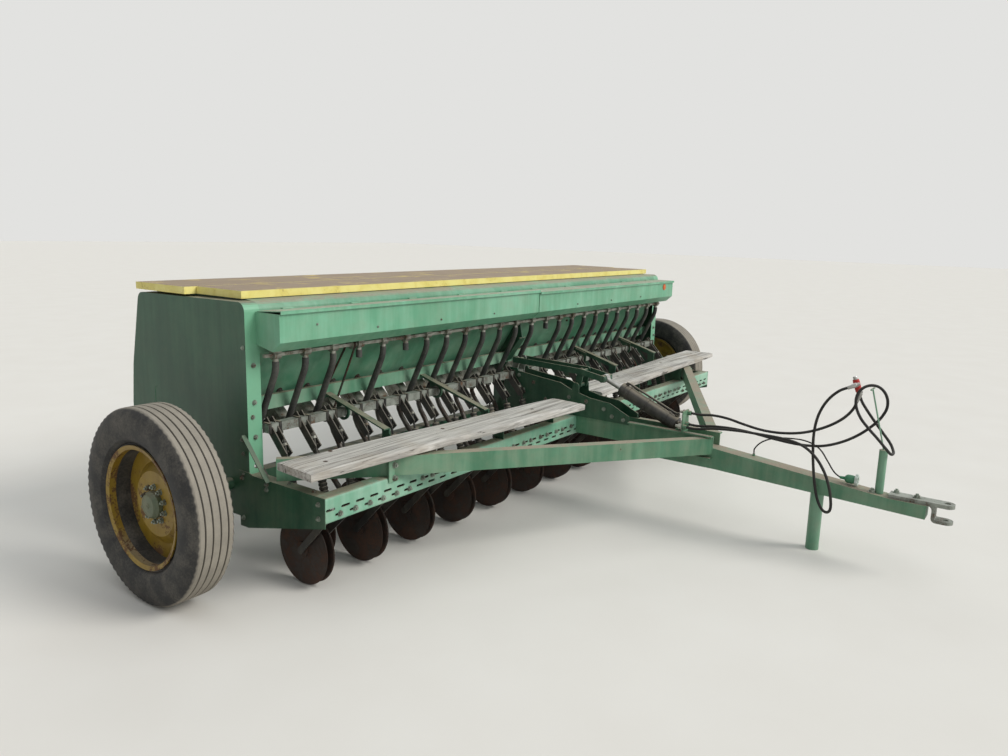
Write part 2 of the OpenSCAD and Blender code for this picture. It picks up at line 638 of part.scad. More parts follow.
// Hydraulic hoses and the light lead: tubes swept along points chosen by hand
hose_d = 15;
lead_d = 8;
hose_top = [[-22, -1125, 655], [-22, -1185, 655], [-24, -1260, 664], [-27, -1350, 660], [-30, -1450, 642],
    [-30, -1560, 627], [-28, -1670, 630], [-22, -1780, 652], [-14, -1880, 696], [-6, -1960, 752], [-2, -2010, 815],
    [-4, -2030, 880]];
hose_loop = [[-50, -1125, 592], [-50, -1185, 592], [-50, -1283, 606], [-50, -1400, 612], [-46, -1520, 604],
    [-40, -1640, 590], [-30, -1760, 582], [-14, -1870, 590], [2, -1960, 622], [14, -2040, 672], [22, -2100, 728],
    [30, -2144, 785], [36, -2166, 845], [32, -2156, 905], [14, -2118, 948], [-10, -2070, 950], [-34, -2034, 914],
    [-50, -2030, 856], [-58, -2058, 792], [-62, -2106, 738], [-62, -2154, 692], [-52, -2196, 645], [-23, -2216, 614],
    [15, -2222, 606], [53, -2216, 614], [80, -2194, 644], [88, -2152, 692], [84, -2106, 748], [78, -2062, 806],
    [74, -2032, 852], [70, -2016, 898]];
hose_low = [[-82, -1125, 580], [-82, -1185, 580], [-84, -1290, 600], [-90, -1430, 614], [-98, -1570, 618],
    [-108, -1700, 618], [-124, -1800, 604], [-144, -1876, 562], [-164, -1934, 496], [-177, -1970, 420],
    [-179, -1986, 350], [-164, -1984, 295], [-136, -1960, 268], [-106, -1928, 272], [-85, -1898, 310],
    [-76, -1878, 370], [-73, -1862, 450], [-69, -1848, 550], [-62, -1840, 660], [-54, -1850, 760], [-46, -1884, 845],
    [-38, -1938, 908], [-30, -1998, 940]];
hoses = [hose_top, hose_loop, hose_low];
lead = [[28, -1500, 466], [28, -1502, 498], [22, -1542, 545], [16, -1610, 580], [12, -1700, 597], [14, -1790, 596],
    [13, -1860, 566], [9, -1910, 505], [4, -1948, 456], [0, -1985, 434], [0, -2010, 434]];
function unit(v) = v / norm(v);
function heading(path, k) = unit(path[min(k + 1, len(path) - 1)] - path[max(k - 1, 0)]);
// u is carried from ring to ring, square to the path
function carried(u, t) = unit(u - (u * t) * t);
function rings(path, d, sides) = [for (k = 0, u = carried([0.3, 0.2, 0.9], heading(path, 0)); k < len(path);
    k = k + 1, u = k < len(path) ? carried(u, heading(path, k)) : u)
    let (v = cross(heading(path, k), u)) each [for (a = [0:sides - 1])
        path[k] + d / 2 * (cos(360 * a / sides) * u + sin(360 * a / sides) * v)]];
module tube(path, d, sides = 8) {
    e = len(path) - 1;
    polyhedron(rings(path, d, sides), concat(
        [[for (a = [0:sides - 1]) a], [for (a = [sides - 1:-1:0]) e * sides + a]],
        [for (k = [0:e - 1], a = [0:sides - 1]) let (b = (a + 1) % sides)
            each [[k * sides + a, (k + 1) * sides + a, (k + 1) * sides + b],
                  [k * sides + a, (k + 1) * sides + b, k * sides + b]]]));
}
module lift_hoses() color(black) centred() for (h = hoses) tube(h, hose_d);
module light_lead() color(black) centred() tube(lead, lead_d);

// What sits on their free ends: two couplers, a long sleeved one and the lights' plug
module end_piece(path, from, h, d) {
    last = path[len(path) - 1];
    way = unit(last - path[len(path) - 2]);
    rod_between(last + from * way, last + (from + h) * way, d);
}
module hose_ends() color(steel) centred() {
    for (h = [hose_top, hose_low]) {
        end_piece(h, 0, 28, 24);
        end_piece(h, 28, 14, 17);
    }
    end_piece(hose_loop, 0, 70, 34);
    end_piece(hose_loop, 70, 18, 22);
    end_piece(lead, 0, 50, 46);
    translate(lead[len(lead) - 1] - [0, 50, 0]) rotate([90, 0, 0]) linear_extrude(14)
        polygon([for (a = [0:5:355]) (30 + 3 * cos(7 * a)) * [sin(a), cos(a)]]);
}

// Parking stand: a tube pinned inside the tongue
stand_top = stand_pin_z + 16;
module parking_stand() color(light_green) centred() difference() {
    translate([0, stand_y, 0]) cylinder(h = stand_top, d = stand_d);
    translate([0, stand_y, -1]) cylinder(h = stand_top + 2, d = stand_d - 10);
    pin_x(0, stand_y, stand_pin_z, stand_pin + 2 * fit, 200);
}

// Lift: hanger, link and rockshaft make a parallel linkage
link_pin = 20;
hanger_top = [hanger_y + pin_dy, hanger_z + lift_arm];
rock_top = [rock_y + pin_dy, rock_z + lift_arm];
module lift_hanger() color(dark_green) centred() difference() {
    for (s = [-1, 1]) link_bar(s * 40, lug, hanger_top, 44, 8);
    pin_x(0, lug[0], lug[1], hanger_pin + 2 * fit, 200);
    pin_x(0, hanger_top[0], hanger_top[1], link_pin + 2 * fit, 200);
}
module lift_link() color(dark_green) centred() {
    link_path = [[rock_top[0] + 22, rock_top[1] + 19], [hanger_top[0], hanger_top[1] + 19],
                 [cyl_rod_y - 20, cyl_rod_z + 19], [cyl_rod_y - 20, cyl_rod_z - 19],
                 [hanger_top[0], hanger_top[1] - 19], [rock_top[0] + 22, rock_top[1] - 19]];
    both_sides() slab(link_path, 48, 8);
    for (p = [rock_top, hanger_top]) pin_x(0, p[0], p[1], link_pin, 112);
    pin_x(0, cyl_rod_y, cyl_rod_z, cyl_pin, 112);
    both_sides() pin_x(35, cyl_rod_y, cyl_rod_z, 46, 27);
}

// Rockshaft with the lift's lever in the middle
rock_end = hopper_x - 10;
trunnion = [trunnion_y, trunnion_z];
rock_c = [rock_y, rock_z];
arm_v = (rock_c - trunnion) / norm(rock_c - trunnion);
module rockshaft() color(black) centred() {
    translate([-rock_end, rock_y - rock_w / 2, rock_z - rock_w / 2]) cube([2 * rock_end, rock_w, rock_w]);
    difference() {
        for (s = [-1, 1]) link_bar(s * 40, rock_c, rock_top, 48, 8);
        pin_x(0, rock_top[0], rock_top[1], link_pin + 2 * fit, 200);
    }
}

// A pair of arms for each row, clamped on the shaft, with the stubs that guide the pressure rod
arm_t = 6;
arm_x = 16;
module rock_arms() color(black) centred() {
    p = rock_c + 48 * arm_v;
    q = trunnion - 16 * arm_v;
    for (i = [0:rows - 1]) translate([row_x(i), 0, 0]) both_sides() {
        difference() {
            bar_between([arm_x, p[0], p[1]], [arm_x, q[0], q[1]], arm_t, 42);
            translate([0, rock_y - rock_w / 2, rock_z - rock_w / 2]) cube([40, rock_w, rock_w]);
        }
        pin_x(arm_x - arm_t / 2 - 2.5, trunnion_y, trunnion_z, 16, 5);
    }
}

// Pressure rods with their springs
rod_pin = 14;
rod_d = 12.7;
rod_v = [0, trunnion_y - rod_pin_y, trunnion_z - rod_pin_z];
coils = 10;
coil_pitch = norm(rod_v) * 0.63 / coils;
module spring() rotate_extrude() polygon(concat([[0, 0]],
    [for (k = [0:coils - 1]) each [[spring_d / 2 - 4, k * coil_pitch], [spring_d / 2, (k + 0.25) * coil_pitch],
                                   [spring_d / 2, (k + 0.75) * coil_pitch]]],
    [[spring_d / 2 - 4, coils * coil_pitch], [0, coils * coil_pitch]]));
module pressure_rods() color(black) centred()
    for (i = [0:rows - 1]) translate([row_x(i), 0, 0]) {
        difference() {
            union() {
                pin_x(0, rod_pin_y, rod_pin_z, 30, 14);
                rod_between([0, rod_pin_y, rod_pin_z], [0, rod_pin_y, rod_pin_z] + rod_v * 1.21, rod_d);
            }
            pin_x(0, rod_pin_y, rod_pin_z, rod_pin + 2 * fit, 40);
        }
        translate([0, rod_pin_y, rod_pin_z] + rod_v * 0.22) rotate([-atan2(rod_v[1], rod_v[2]), 0, 0]) spring();
    }

// Opener arms: two straps, and between the discs the casting with its boot and the fork of the pressure rod
hub_z = disc_d / 2 + disc_clear;
spindle_r = 15;
arm_end_x = 39;
cast_w = 24;
function disc_y(i) = i % 2 == 0 ? front_disc_y : rear_disc_y;
module opener_arms() color(black) centred()
    for (i = [0:rows - 1]) translate([row_x(i), 0, 0]) {
        difference() {
            union() {
                for (s = [-1, 1]) {
                    bar_between([s * strap_x, drawbar_y, drawbar_z], [s * arm_end_x, disc_y(i), hub_z], strap_t, strap_w);
                    pin_x(s * strap_x, drawbar_y, drawbar_z, strap_w, strap_t);
                    pin_x(s * arm_end_x, disc_y(i), hub_z, strap_w, strap_t);
                }
                plate([[disc_y(i) - 24, hub_z - 24], [disc_y(i) + 36, hub_z - 120], [disc_y(i) + 84, hub_z - 120],
                       [disc_y(i) + 96, hub_z + 66], [disc_y(i) + 50, hub_z + 66], [rod_pin_y + 22, rod_pin_z + 20],
                       [rod_pin_y - 22, rod_pin_z + 20], [disc_y(i) - 30, hub_z + 20]], 0, cast_w);
            }
            pin_x(0, drawbar_y, drawbar_z, drawbar_pin + 2 * fit, 160);
            translate([-7 - fit, rod_pin_y - 60, rod_pin_z - 15 - fit]) cube([14 + 2 * fit, 120, 60]);
        }
        pin_x(0, rod_pin_y, rod_pin_z, rod_pin, cast_w);
        pin_x(0, disc_y(i), hub_z, 2 * spindle_r, 2 * arm_end_x);
    }

// Opener discs in pairs, with bevelled edges
disc_x = cast_w / 2 + 6;
module disc_pair(x, y) translate([x, y, hub_z]) both_sides() rotate([0, 90, 0]) rotate_extrude($fn = 72)
    polygon([[spindle_r + fit, cast_w / 2 + fit], [26, cast_w / 2 + fit], [26, disc_x], [disc_d / 2 - 6, disc_x],
             [disc_d / 2, disc_x + disc_t - 1], [disc_d / 2, disc_x + disc_t], [40, disc_x + disc_t],
             [40, disc_x + disc_t + 8], [spindle_r + fit, disc_x + disc_t + 8]]);
module discs_front() color(rust) centred() for (i = [0:2:rows - 1]) disc_pair(row_x(i), front_disc_y);
module discs_rear() color(rust) centred() for (i = [1:2:rows - 1]) disc_pair(row_x(i), rear_disc_y);

// Hydraulic cylinder: base eye, barrel with its caps, rod and rod eye
cyl_base = [0, cyl_base_y, cyl_base_z];
cyl_rod = [0, cyl_rod_y, cyl_rod_z];
cyl_pins = norm(cyl_rod - cyl_base);
cyl_dir = (cyl_rod - cyl_base) / cyl_pins;
rod_inside = 115;
module along_cylinder() translate(cyl_base) rotate([-acos(cyl_dir[2]), 0, 0]) children();
module cylinder_barrel() color(black) centred() difference() {
    union() {
        along_cylinder() rotate_extrude() polygon([[0, 24], [30, 24], [cyl_d / 2, 40], [cyl_d / 2, 62], [cyl_d / 2 - 3, 64],
            [cyl_d / 2 - 3, cyl_len - 30], [cyl_d / 2, cyl_len - 28], [cyl_d / 2, cyl_len], [0, cyl_len]]);
        pin_x(0, cyl_base_y, cyl_base_z, 52, 56);
    }
    pin_x(0, cyl_base_y, cyl_base_z, cyl_pin + 2 * fit, 80);
    along_cylinder() translate([0, 0, cyl_len - rod_inside - 30])
        cylinder(h = rod_inside + 31, d = cyl_rod_d + 2 * fit);
}
module cylinder_rod() color(steel) centred() difference() {
    union() {
        along_cylinder() translate([0, 0, cyl_len - rod_inside])
            cylinder(h = cyl_pins - cyl_len + rod_inside, d = cyl_rod_d);
        pin_x(0, cyl_rod_y, cyl_rod_z, 54, 40);
    }
    pin_x(0, cyl_rod_y, cyl_rod_z, cyl_pin + 14, 60);
}

// Wheels: ribbed tyre, dished rim and hub
tyre_r = tyre_d / 2;
rim_r = rim_d / 2;
hub_r = 60;
module on_wheel() translate([wheel_x, axle_y, tyre_r]) rotate([0, 90, 0]) children();
// each row: groove's place across the tread
grooves = [-0.31, -0.105, 0.105, 0.31];
module tyre() on_wheel() difference() {
    rotate_extrude($fn = 96)
        polygon([[rim_r - 14, -70], [rim_r + 8, -73], [rim_r + 26, -96], [rim_r + 90, -104], [tyre_r - 30, -98],
                 [tyre_r - 8, -tread_w / 2], [tyre_r, -tread_w / 2 + 12], [tyre_r, tread_w / 2 - 12],
                 [tyre_r - 8, tread_w / 2], [tyre_r - 30, 98], [rim_r + 90, 104], [rim_r + 26, 96],
                 [rim_r + 8, 73], [rim_r - 14, 70]]);
    for (g = grooves) translate([0, 0, g * tread_w - 5]) rotate_extrude($fn = 96) translate([tyre_r - 9, 0]) square([12, 10]);
}
module rim() on_wheel() difference() {
    rotate_extrude($fn = 96)
        polygon([[rim_r, -86], [rim_r, -78], [rim_r - 14.3, -74], [rim_r - 14.3, 74], [rim_r, 78], [rim_r, 86],
                 [rim_r - 20, 80], [rim_r - 20, -20], [190, -20], [150, 10], [hub_r + 2 + fit, 10], [hub_r + 2 + fit, 2],
                 [150, 2], [190, -28], [rim_r - 20, -28], [rim_r - 20, -80]]);
    for (k = [0:9]) rotate([0, 0, 36 * k]) translate([81, 0, 0]) cylinder(h = 40, d = 14, center = true);
}
module hub() on_wheel() rotate_extrude()
    polygon([[spindle_d / 2 + fit, -90], [hub_r, -90], [hub_r, -14], [96, -14], [96, 2], [hub_r + 2, 2], [hub_r + 2, 30],
             [50, 46], [0, 46], [0, spindle_x - wheel_x + fit], [spindle_d / 2 + fit, spindle_x - wheel_x + fit]]);
module tyre_left() color(black) centred() mirror([1, 0, 0]) tyre();
module tyre_right() color(black) centred() tyre();
module rim_left() color(yellow) centred() mirror([1, 0, 0]) rim();
module rim_right() color(yellow) centred() rim();
module hub_left() color(green) centred() mirror([1, 0, 0]) hub();
module hub_right() color(green) centred() hub();

end_panel_left();
end_panel_right();
grain_box();
front_lid();
rear_lid();
centre_bulkhead();
box_walls();
box_rails();
front_rail();
corner_brackets();
main_axle();
brace_angles();
feed_cups();
seed_box_left();
seed_box_right();
seed_lid_left();
seed_lid_right();
seed_feed();
seed_tubes();
drive_chains();
plank_left();
plank_right();
hitch_diagonal_left();
hitch_diagonal_right();
hitch_beam();
centre_plates();
tongue();
hitch_clevis();
hose_support();
lift_hoses();
light_lead();
hose_ends();
parking_stand();
lift_hanger();
lift_link();
rockshaft();
rock_arms();
pressure_rods();
opener_arms();
discs_front();
discs_rear();
cylinder_barrel();
cylinder_rod();
tyre_left();
tyre_right();
rim_left();
rim_right();
hub_left();
hub_right();
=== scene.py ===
import json
import math
import random

import bmesh
import bpy
from mathutils import Matrix, Vector

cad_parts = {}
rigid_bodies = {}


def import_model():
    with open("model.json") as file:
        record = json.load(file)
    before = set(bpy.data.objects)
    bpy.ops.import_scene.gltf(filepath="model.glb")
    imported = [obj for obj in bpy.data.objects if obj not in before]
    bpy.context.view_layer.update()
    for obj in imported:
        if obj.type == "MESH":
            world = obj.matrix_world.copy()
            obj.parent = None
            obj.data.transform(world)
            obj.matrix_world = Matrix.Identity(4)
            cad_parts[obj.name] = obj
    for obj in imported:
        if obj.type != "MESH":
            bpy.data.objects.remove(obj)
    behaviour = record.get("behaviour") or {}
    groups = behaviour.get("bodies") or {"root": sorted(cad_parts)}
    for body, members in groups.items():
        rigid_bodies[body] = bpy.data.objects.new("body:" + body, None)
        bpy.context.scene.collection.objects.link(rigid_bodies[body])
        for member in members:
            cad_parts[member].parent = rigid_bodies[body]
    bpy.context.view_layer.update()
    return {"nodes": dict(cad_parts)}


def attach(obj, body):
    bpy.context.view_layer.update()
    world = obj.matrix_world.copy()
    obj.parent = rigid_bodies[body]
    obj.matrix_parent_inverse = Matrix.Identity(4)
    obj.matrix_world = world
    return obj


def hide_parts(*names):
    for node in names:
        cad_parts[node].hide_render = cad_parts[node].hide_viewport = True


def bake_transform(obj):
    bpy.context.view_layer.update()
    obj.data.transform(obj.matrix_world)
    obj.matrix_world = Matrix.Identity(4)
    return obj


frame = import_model()
yShift = 0.6775  # the machine's own y starts this far behind the model's middle
print("frame loaded:", len(frame["nodes"]), "nodes")


def spot(x, y, z):  # a place in the machine's millimetres, as the part's source gives it
    return Vector((x / 1000, y / 1000 + yShift, z / 1000))


wheel = {"x": 2560, "y": 323, "z": 450, "bolts": 10, "circle": 81, "boltX": 2570}
view = {"x": -4375, "y": -2888, "z": 1696, "yaw": 0.945, "pitch": 0.186, "roll": 0.027, "lens": 28.04}


def placeCamera(look):
    yaw, pitch, roll = look["yaw"], look["pitch"], look["roll"]
    ahead = Vector((math.sin(yaw) * math.cos(pitch), math.cos(yaw) * math.cos(pitch), -math.sin(pitch)))
    right = Vector((math.cos(yaw), -math.sin(yaw), 0))
    up = right.cross(ahead)
    across = math.cos(roll) * right + math.sin(roll) * up
    upright = math.cos(roll) * up - math.sin(roll) * right
    camera = bpy.data.objects.new("camera", bpy.data.cameras.new("camera"))
    camera.data.lens = look["lens"]
    camera.data.sensor_width = 36
    camera.data.clip_end = 200
    turn = Matrix((across, upright, -ahead)).transposed()
    camera.matrix_world = Matrix.Translation(spot(look["x"], look["y"], look["z"])) @ turn.to_4x4()
    bpy.context.collection.objects.link(camera)
    bpy.context.scene.camera = camera


placeCamera(view)

lamps = {  # where it shines from, its strength, its softness in degrees and its colour
    "mainLight": ((3.6, -8.5, 6.4), 2.1, 26, (1.0, 0.985, 0.96)),
    "roofLight": ((-0.5, -1.5, 9.0), 0.75, 70, (0.97, 0.985, 1.0)),
    "farLight": ((7.5, 6.0, 5.0), 0.5, 50, (0.96, 0.98, 1.0)),
}
for name, (place, strength, softness, colour) in lamps.items():
    lamp = bpy.data.lights.new(name, "SUN")
    lamp.energy, lamp.angle, lamp.color = strength, math.radians(softness), colour
    holder = bpy.data.objects.new(name, lamp)
    holder.rotation_euler = (-Vector(place)).to_track_quat("-Z", "Y").to_euler()
    bpy.context.collection.objects.link(holder)
bpy.context.scene.view_settings.view_transform = "Standard"
print("camera and lamps placed")


class Wire:  # a socket of a tree, which sums can be written with
    def __init__(self, owner, socket):
        self.owner, self.socket = owner, socket

    def sum(self, operation, left, right):
        return self.owner.add("ShaderNodeMath", {"operation": operation}, {0: left, 1: right})

    def __add__(self, other):
        return self.sum("ADD", self, other)

    def __radd__(self, other):
        return self.sum("ADD", other, self)

    def __sub__(self, other):
        return self.sum("SUBTRACT", self, other)

    def __rsub__(self, other):
        return self.sum("SUBTRACT", other, self)

    def __mul__(self, other):
        return self.sum("MULTIPLY", self, other)

    def __rmul__(self, other):
        return self.sum("MULTIPLY", other, self)

    def most(self, other):
        return self.sum("MAXIMUM", self, other)

    def out(self, name):
        return Wire(self.owner, self.socket.node.outputs[name])


class Tree:  # a node tree that nodes are added to
    def __init__(self, tree):
        self.tree = tree
        tree.nodes.clear()

    def add(self, kind, settings=None, inputs=None):
        node = self.tree.nodes.new(kind)
        for key, value in (settings or {}).items():
            if key == "stops":
                for k, (at, colour) in enumerate(value):
                    stop = node.color_ramp.elements[k] if k < 2 else node.color_ramp.elements.new(at)
                    stop.position, stop.color = at, colour
            else:
                setattr(node, key, value)
        for key, value in (inputs or {}).items():
            if isinstance(value, Wire):
                self.tree.links.new(value.socket, node.inputs[key])
            else:
                node.inputs[key].default_value = value
        return Wire(self, node.outputs[0] if node.outputs else None)

    def step(self, value, low, high):
        return self.add("ShaderNodeMapRange", {"interpolation_type": "SMOOTHSTEP"},
                        {"Value": value, "From Min": low, "From Max": high})


class Paint(Tree):  # a material
    def __init__(self, name):
        self.material = bpy.data.materials.new(name)
        self.material.use_nodes = True
        super().__init__(self.material.node_tree)
        self.where = self.add("ShaderNodeTexCoord").out("Object")

    def stretched(self, scale):
        return self.add("ShaderNodeMapping", None, {"Vector": self.where, "Scale": scale})

    def noise(self, scale, detail=4, rough=0.55, where=None, warp=0.0):
        return self.add("ShaderNodeTexNoise", None, {"Vector": where or self.where, "Scale": scale,
                        "Detail": detail, "Roughness": rough, "Distortion": warp})

    def mix(self, share, first, second):
        blend = self.add("ShaderNodeMix", {"data_type": "RGBA"}, {0: share, 6: first, 7: second})
        return Wire(self, blend.socket.node.outputs[2])

    def axis(self, vector, letter):
        return self.add("ShaderNodeSeparateXYZ", None, {0: vector}).out(letter)

    def facingUp(self, low=0.45, high=0.95):
        return self.step(self.axis(self.add("ShaderNodeNewGeometry").out("Normal"), "Z"), low, high)

    def finish(self, colour, rough, height, depth, strength, metal=0.0, specular=0.5):
        bump = self.add("ShaderNodeBump", None, {"Height": height, "Distance": depth, "Strength": strength})
        shader = self.add("ShaderNodeBsdfPrincipled", None,
                          {"Base Color": colour, "Roughness": rough, "Metallic": metal,
                           "Specular IOR Level": specular, "Normal": bump})
        self.add("ShaderNodeOutputMaterial", None, {"Surface": shader})
        return self.material


def rgb(red, green, blue):  # from the 0 to 255 that a colour picker gives
    return tuple(((c / 255 + 0.055) / 1.055) ** 2.4 if c > 10 else c / 255 / 12.92
                 for c in (red, green, blue)) + (1.0,)


dustColour = rgb(158, 150, 132)
rustColour = rgb(104, 66, 42)

enamels = {  # colours, how much dust lies on walls and on tops, and the share of rust
    # the end panels' green is a darker copy of the machine's green paint, which is painted shade; its front colour is
    # painted light on faces that look forward
    "panelGreen": {"base": rgb(28, 72, 50), "faded": rgb(42, 90, 64), "front": rgb(112, 170, 136),
                   "dust": 0.1, "dustTop": 0.7, "rust": 0.06},
    "boxGreen": {"base": rgb(92, 154, 120), "faded": rgb(122, 182, 150), "dust": 0.3, "dustTop": 0.85, "rust": 0.06},
    "sheetGreen": {"base": rgb(76, 138, 106), "faded": rgb(112, 168, 138), "dust": 0.36, "dustTop": 0.9, "rust": 0.1},
    "railGreen": {"base": rgb(104, 160, 132), "faded": rgb(144, 190, 166), "dust": 0.36, "dustTop": 0.9, "rust": 0.12},
    "frameGreen": {"base": rgb(78, 132, 102), "faded": rgb(120, 166, 138), "dust": 0.36, "dustTop": 0.9, "rust": 0.14},
    "deepGreen": {"base": rgb(22, 66, 46), "faded": rgb(34, 86, 62), "dust": 0.2, "dustTop": 0.75, "rust": 0.1},
    "beamGreen": {"base": rgb(64, 116, 86), "faded": rgb(98, 146, 116), "dust": 0.42, "dustTop": 1.0, "rust": 0.16},
    "wheelYellow": {"base": rgb(126, 98, 10), "faded": rgb(150, 122, 26), "dust": 0.16, "dustTop": 0.7, "rust": 0.5},
    "blackPaint": {"base": rgb(26, 27, 27), "faded": rgb(48, 48, 46), "dust": 0.3, "dustTop": 0.85, "rust": 0.2},
    "hubGreen": {"base": rgb(58, 84, 62), "faded": rgb(100, 108, 80), "dust": 0.45, "dustTop": 0.8, "rust": 0.18},
}


def enamel(name, look):
    paint = Paint(name)
    broad = paint.noise(1.6, 5, 0.6)
    patch = paint.noise(8.5, 7, 0.62, warp=0.4)
    fine = paint.noise(85, 6, 0.7)
    streak = paint.noise(1, 5, 0.6, where=paint.stretched((17, 17, 1.6)))
    shade = paint.mix(paint.step(broad * 0.6 + streak * 0.4, 0.38, 0.64), look["base"], look["faded"])
    # faces that look forward are painted paler: painted light, where the lamp from the front falls
    if "front" in look:
        ahead = 0 - paint.axis(paint.add("ShaderNodeNewGeometry").out("Normal"), "Y")
        shade = paint.mix(paint.step(ahead, 0.3, 0.8), shade, look["front"])
    film = paint.step(patch * 0.5 + streak * 0.25 + broad * 0.25, 0.36, 0.72) * look["dust"]
    film = film.most(paint.facingUp() * paint.step(patch * 0.7 + fine * 0.3, 0.25, 0.55) * look["dustTop"])
    dust = paint.mix(fine, dustColour, rgb(120, 108, 88))
    colour = paint.mix(film, shade, dust)
    worn = paint.step(patch * 0.62 + fine * 0.38, 0.69 - 0.36 * look["rust"], 0.73 - 0.3 * look["rust"])
    colour = paint.mix(worn * 0.85, colour, paint.mix(fine, rustColour, rgb(66, 44, 32)))
    rough = 0.42 + film * 0.4 + worn * 0.3
    return paint.finish(colour, rough, fine * 0.5 + patch - worn * 0.35, 0.0012, 0.45)


def lidPaint():  # yellow edges and a top under years of dust
    paint = Paint("lidPaint")
    patch = paint.noise(7, 7, 0.65, warp=0.5)
    grain = paint.noise(1, 6, 0.65, where=paint.stretched((3.5, 26, 20)))
    fine = paint.noise(90, 5, 0.7)
    yellow = paint.mix(paint.step(patch, 0.4, 0.65), rgb(232, 220, 136), rgb(220, 204, 112))
    edgeWear = paint.step(patch * 0.5 + fine * 0.5, 0.56, 0.64)
    yellow = paint.mix(edgeWear * 0.7, yellow, rgb(132, 104, 62))
    top = paint.mix(grain, rgb(150, 134, 112), rgb(118, 100, 78))
    top = paint.mix(paint.step(patch, 0.52, 0.72) * 0.8, top, rgb(188, 166, 98))
    up = paint.facingUp(0.6, 0.9)
    colour = paint.mix(up, yellow, top)
    return paint.finish(colour, 0.5 + up * 0.35, fine * 0.4 + grain * 0.6, 0.0012, 0.5)


def greyWood():
    paint = Paint("greyWood")
    grain = paint.noise(1, 8, 0.68, where=paint.stretched((1.7, 42, 42)), warp=0.7)
    split = paint.noise(1, 4, 0.5, where=paint.stretched((1.1, 70, 30)), warp=0.3)
    broad = paint.noise(3.2, 4, 0.6)
    colour = paint.mix(paint.step(grain, 0.3, 0.7), rgb(138, 134, 128), rgb(204, 200, 192))
    colour = paint.mix(paint.step(broad, 0.45, 0.7) * 0.45, colour, rgb(160, 148, 130))
    crack = paint.step(split, 0.615, 0.66)
    colour = paint.mix(crack * 0.75, colour, rgb(62, 56, 48))
    return paint.finish(colour, 0.9, grain - crack * 0.9, 0.004, 0.8, specular=0.25)


def rubber(name, base, dust, share):
    paint = Paint(name)
    patch = paint.noise(11, 6, 0.6)
    fine = paint.noise(120, 5, 0.7)
    film = paint.step(patch * 0.6 + fine * 0.4, 0.3, 0.72) * share
    # the top of each piece takes the dust colour; on the seed tubes this pale top is partly dust and partly a painted
    # highlight
    film = film.most(paint.facingUp(0.3, 0.95) * share)
    colour = paint.mix(film, base, dust)
    return paint.finish(colour, 0.62 + film * 0.3, fine * 0.6 + patch * 0.4, 0.0008, 0.5, specular=0.35)


def tyreRubber():  # a tread full of dust between darker walls
    paint = Paint("tyreRubber")
    patch = paint.noise(9, 6, 0.6)
    fine = paint.noise(110, 5, 0.7)
    hub = spot(0, wheel["y"], wheel["z"])
    offset = paint.add("ShaderNodeVectorMath", {"operation": "SUBTRACT"}, {0: paint.where, 1: hub})
    radius = paint.add("ShaderNodeVectorMath", {"operation": "LENGTH"},
                       {0: paint.add("ShaderNodeVectorMath", {"operation": "MULTIPLY"}, {0: offset, 1: (0, 1, 1)})})
    reach = radius.out("Value")
    tread = paint.step(reach, 0.4405, 0.4485)
    wall = paint.step(patch * 0.6 + fine * 0.4, 0.4, 0.75) * 0.38
    film = (tread * (0.62 + paint.step(patch * 0.5 + fine * 0.5, 0.3, 0.7) * 0.35)).most(wall)
    colour = paint.mix(film, rgb(40, 40, 40), paint.mix(fine, rgb(168, 161, 148), rgb(134, 127, 114)))
    return paint.finish(colour, 0.62 + film * 0.3, fine * 0.6 + patch * 0.4, 0.0009, 0.5, specular=0.35)


def bareSteel(name, bright, dark, rust, share, rough, metal):
    paint = Paint(name)
    patch = paint.noise(13, 7, 0.62, warp=0.5)
    fine = paint.noise(140, 5, 0.7)
    steel = paint.mix(paint.step(patch, 0.35, 0.65), bright, dark)
    worn = paint.step(patch * 0.55 + fine * 0.45, 0.62 - 0.3 * share, 0.7 - 0.2 * share)
    colour = paint.mix(worn, steel, paint.mix(fine, rust, rgb(72, 46, 32)))
    return paint.finish(colour, rough + worn * 0.4, fine + patch * 0.5, 0.0008, 0.5, metal=metal - worn * metal)


finishes = {name: enamel(name, look) for name, look in enamels.items()}
finishes["lidPaint"] = lidPaint()
finishes["greyWood"] = greyWood()
finishes["tyreRubber"] = tyreRubber()
rubbers = {  # colour, dust colour and how much of it
    # the seed tubes' pale tops are partly dust and partly a painted highlight
    "tubeRubber": (rgb(44, 46, 46), rgb(118, 116, 106), 0.5),
    "hoseRubber": (rgb(20, 20, 21), rgb(96, 92, 82), 0.25),
    "amberPlastic": (rgb(206, 96, 40), rgb(150, 120, 96), 0.35),
    "redRubber": (rgb(176, 34, 30), rgb(150, 110, 96), 0.2),
    "plugGreen": (rgb(52, 128, 92), rgb(128, 134, 118), 0.3),
    "plugPale": (rgb(196, 208, 198), rgb(150, 150, 138), 0.3),
}
steels = {  # bright, dark and rust colours, share of rust, roughness and metal
    "discSteel": (rgb(70, 64, 60), rgb(44, 40, 38), rgb(70, 52, 42), 0.6, 0.5, 0.7),
    "zinc": (rgb(170, 170, 160), rgb(132, 132, 122), rgb(126, 98, 66), 0.35, 0.5, 0.85),
    "chainSteel": (rgb(78, 72, 66), rgb(46, 42, 38), rgb(84, 56, 38), 0.7, 0.5, 0.85),
    "rodSteel": (rgb(176, 176, 172), rgb(140, 138, 132), rgb(112, 84, 58), 0.15, 0.3, 0.85),
    "greySteel": (rgb(150, 154, 144), rgb(112, 116, 108), rgb(116, 88, 66), 0.35, 0.6, 0.35),
    "boltSteel": (rgb(150, 158, 146), rgb(110, 116, 106), rgb(104, 78, 56), 0.4, 0.5, 0.6),
    "ribbonSteel": (rgb(96, 92, 86), rgb(64, 60, 56), rgb(88, 66, 50), 0.45, 0.55, 0.6),
}
finishes.update({name: rubber(name, *look) for name, look in rubbers.items()})
finishes.update({name: bareSteel(name, *look) for name, look in steels.items()})
print("materials made:", len(finishes))

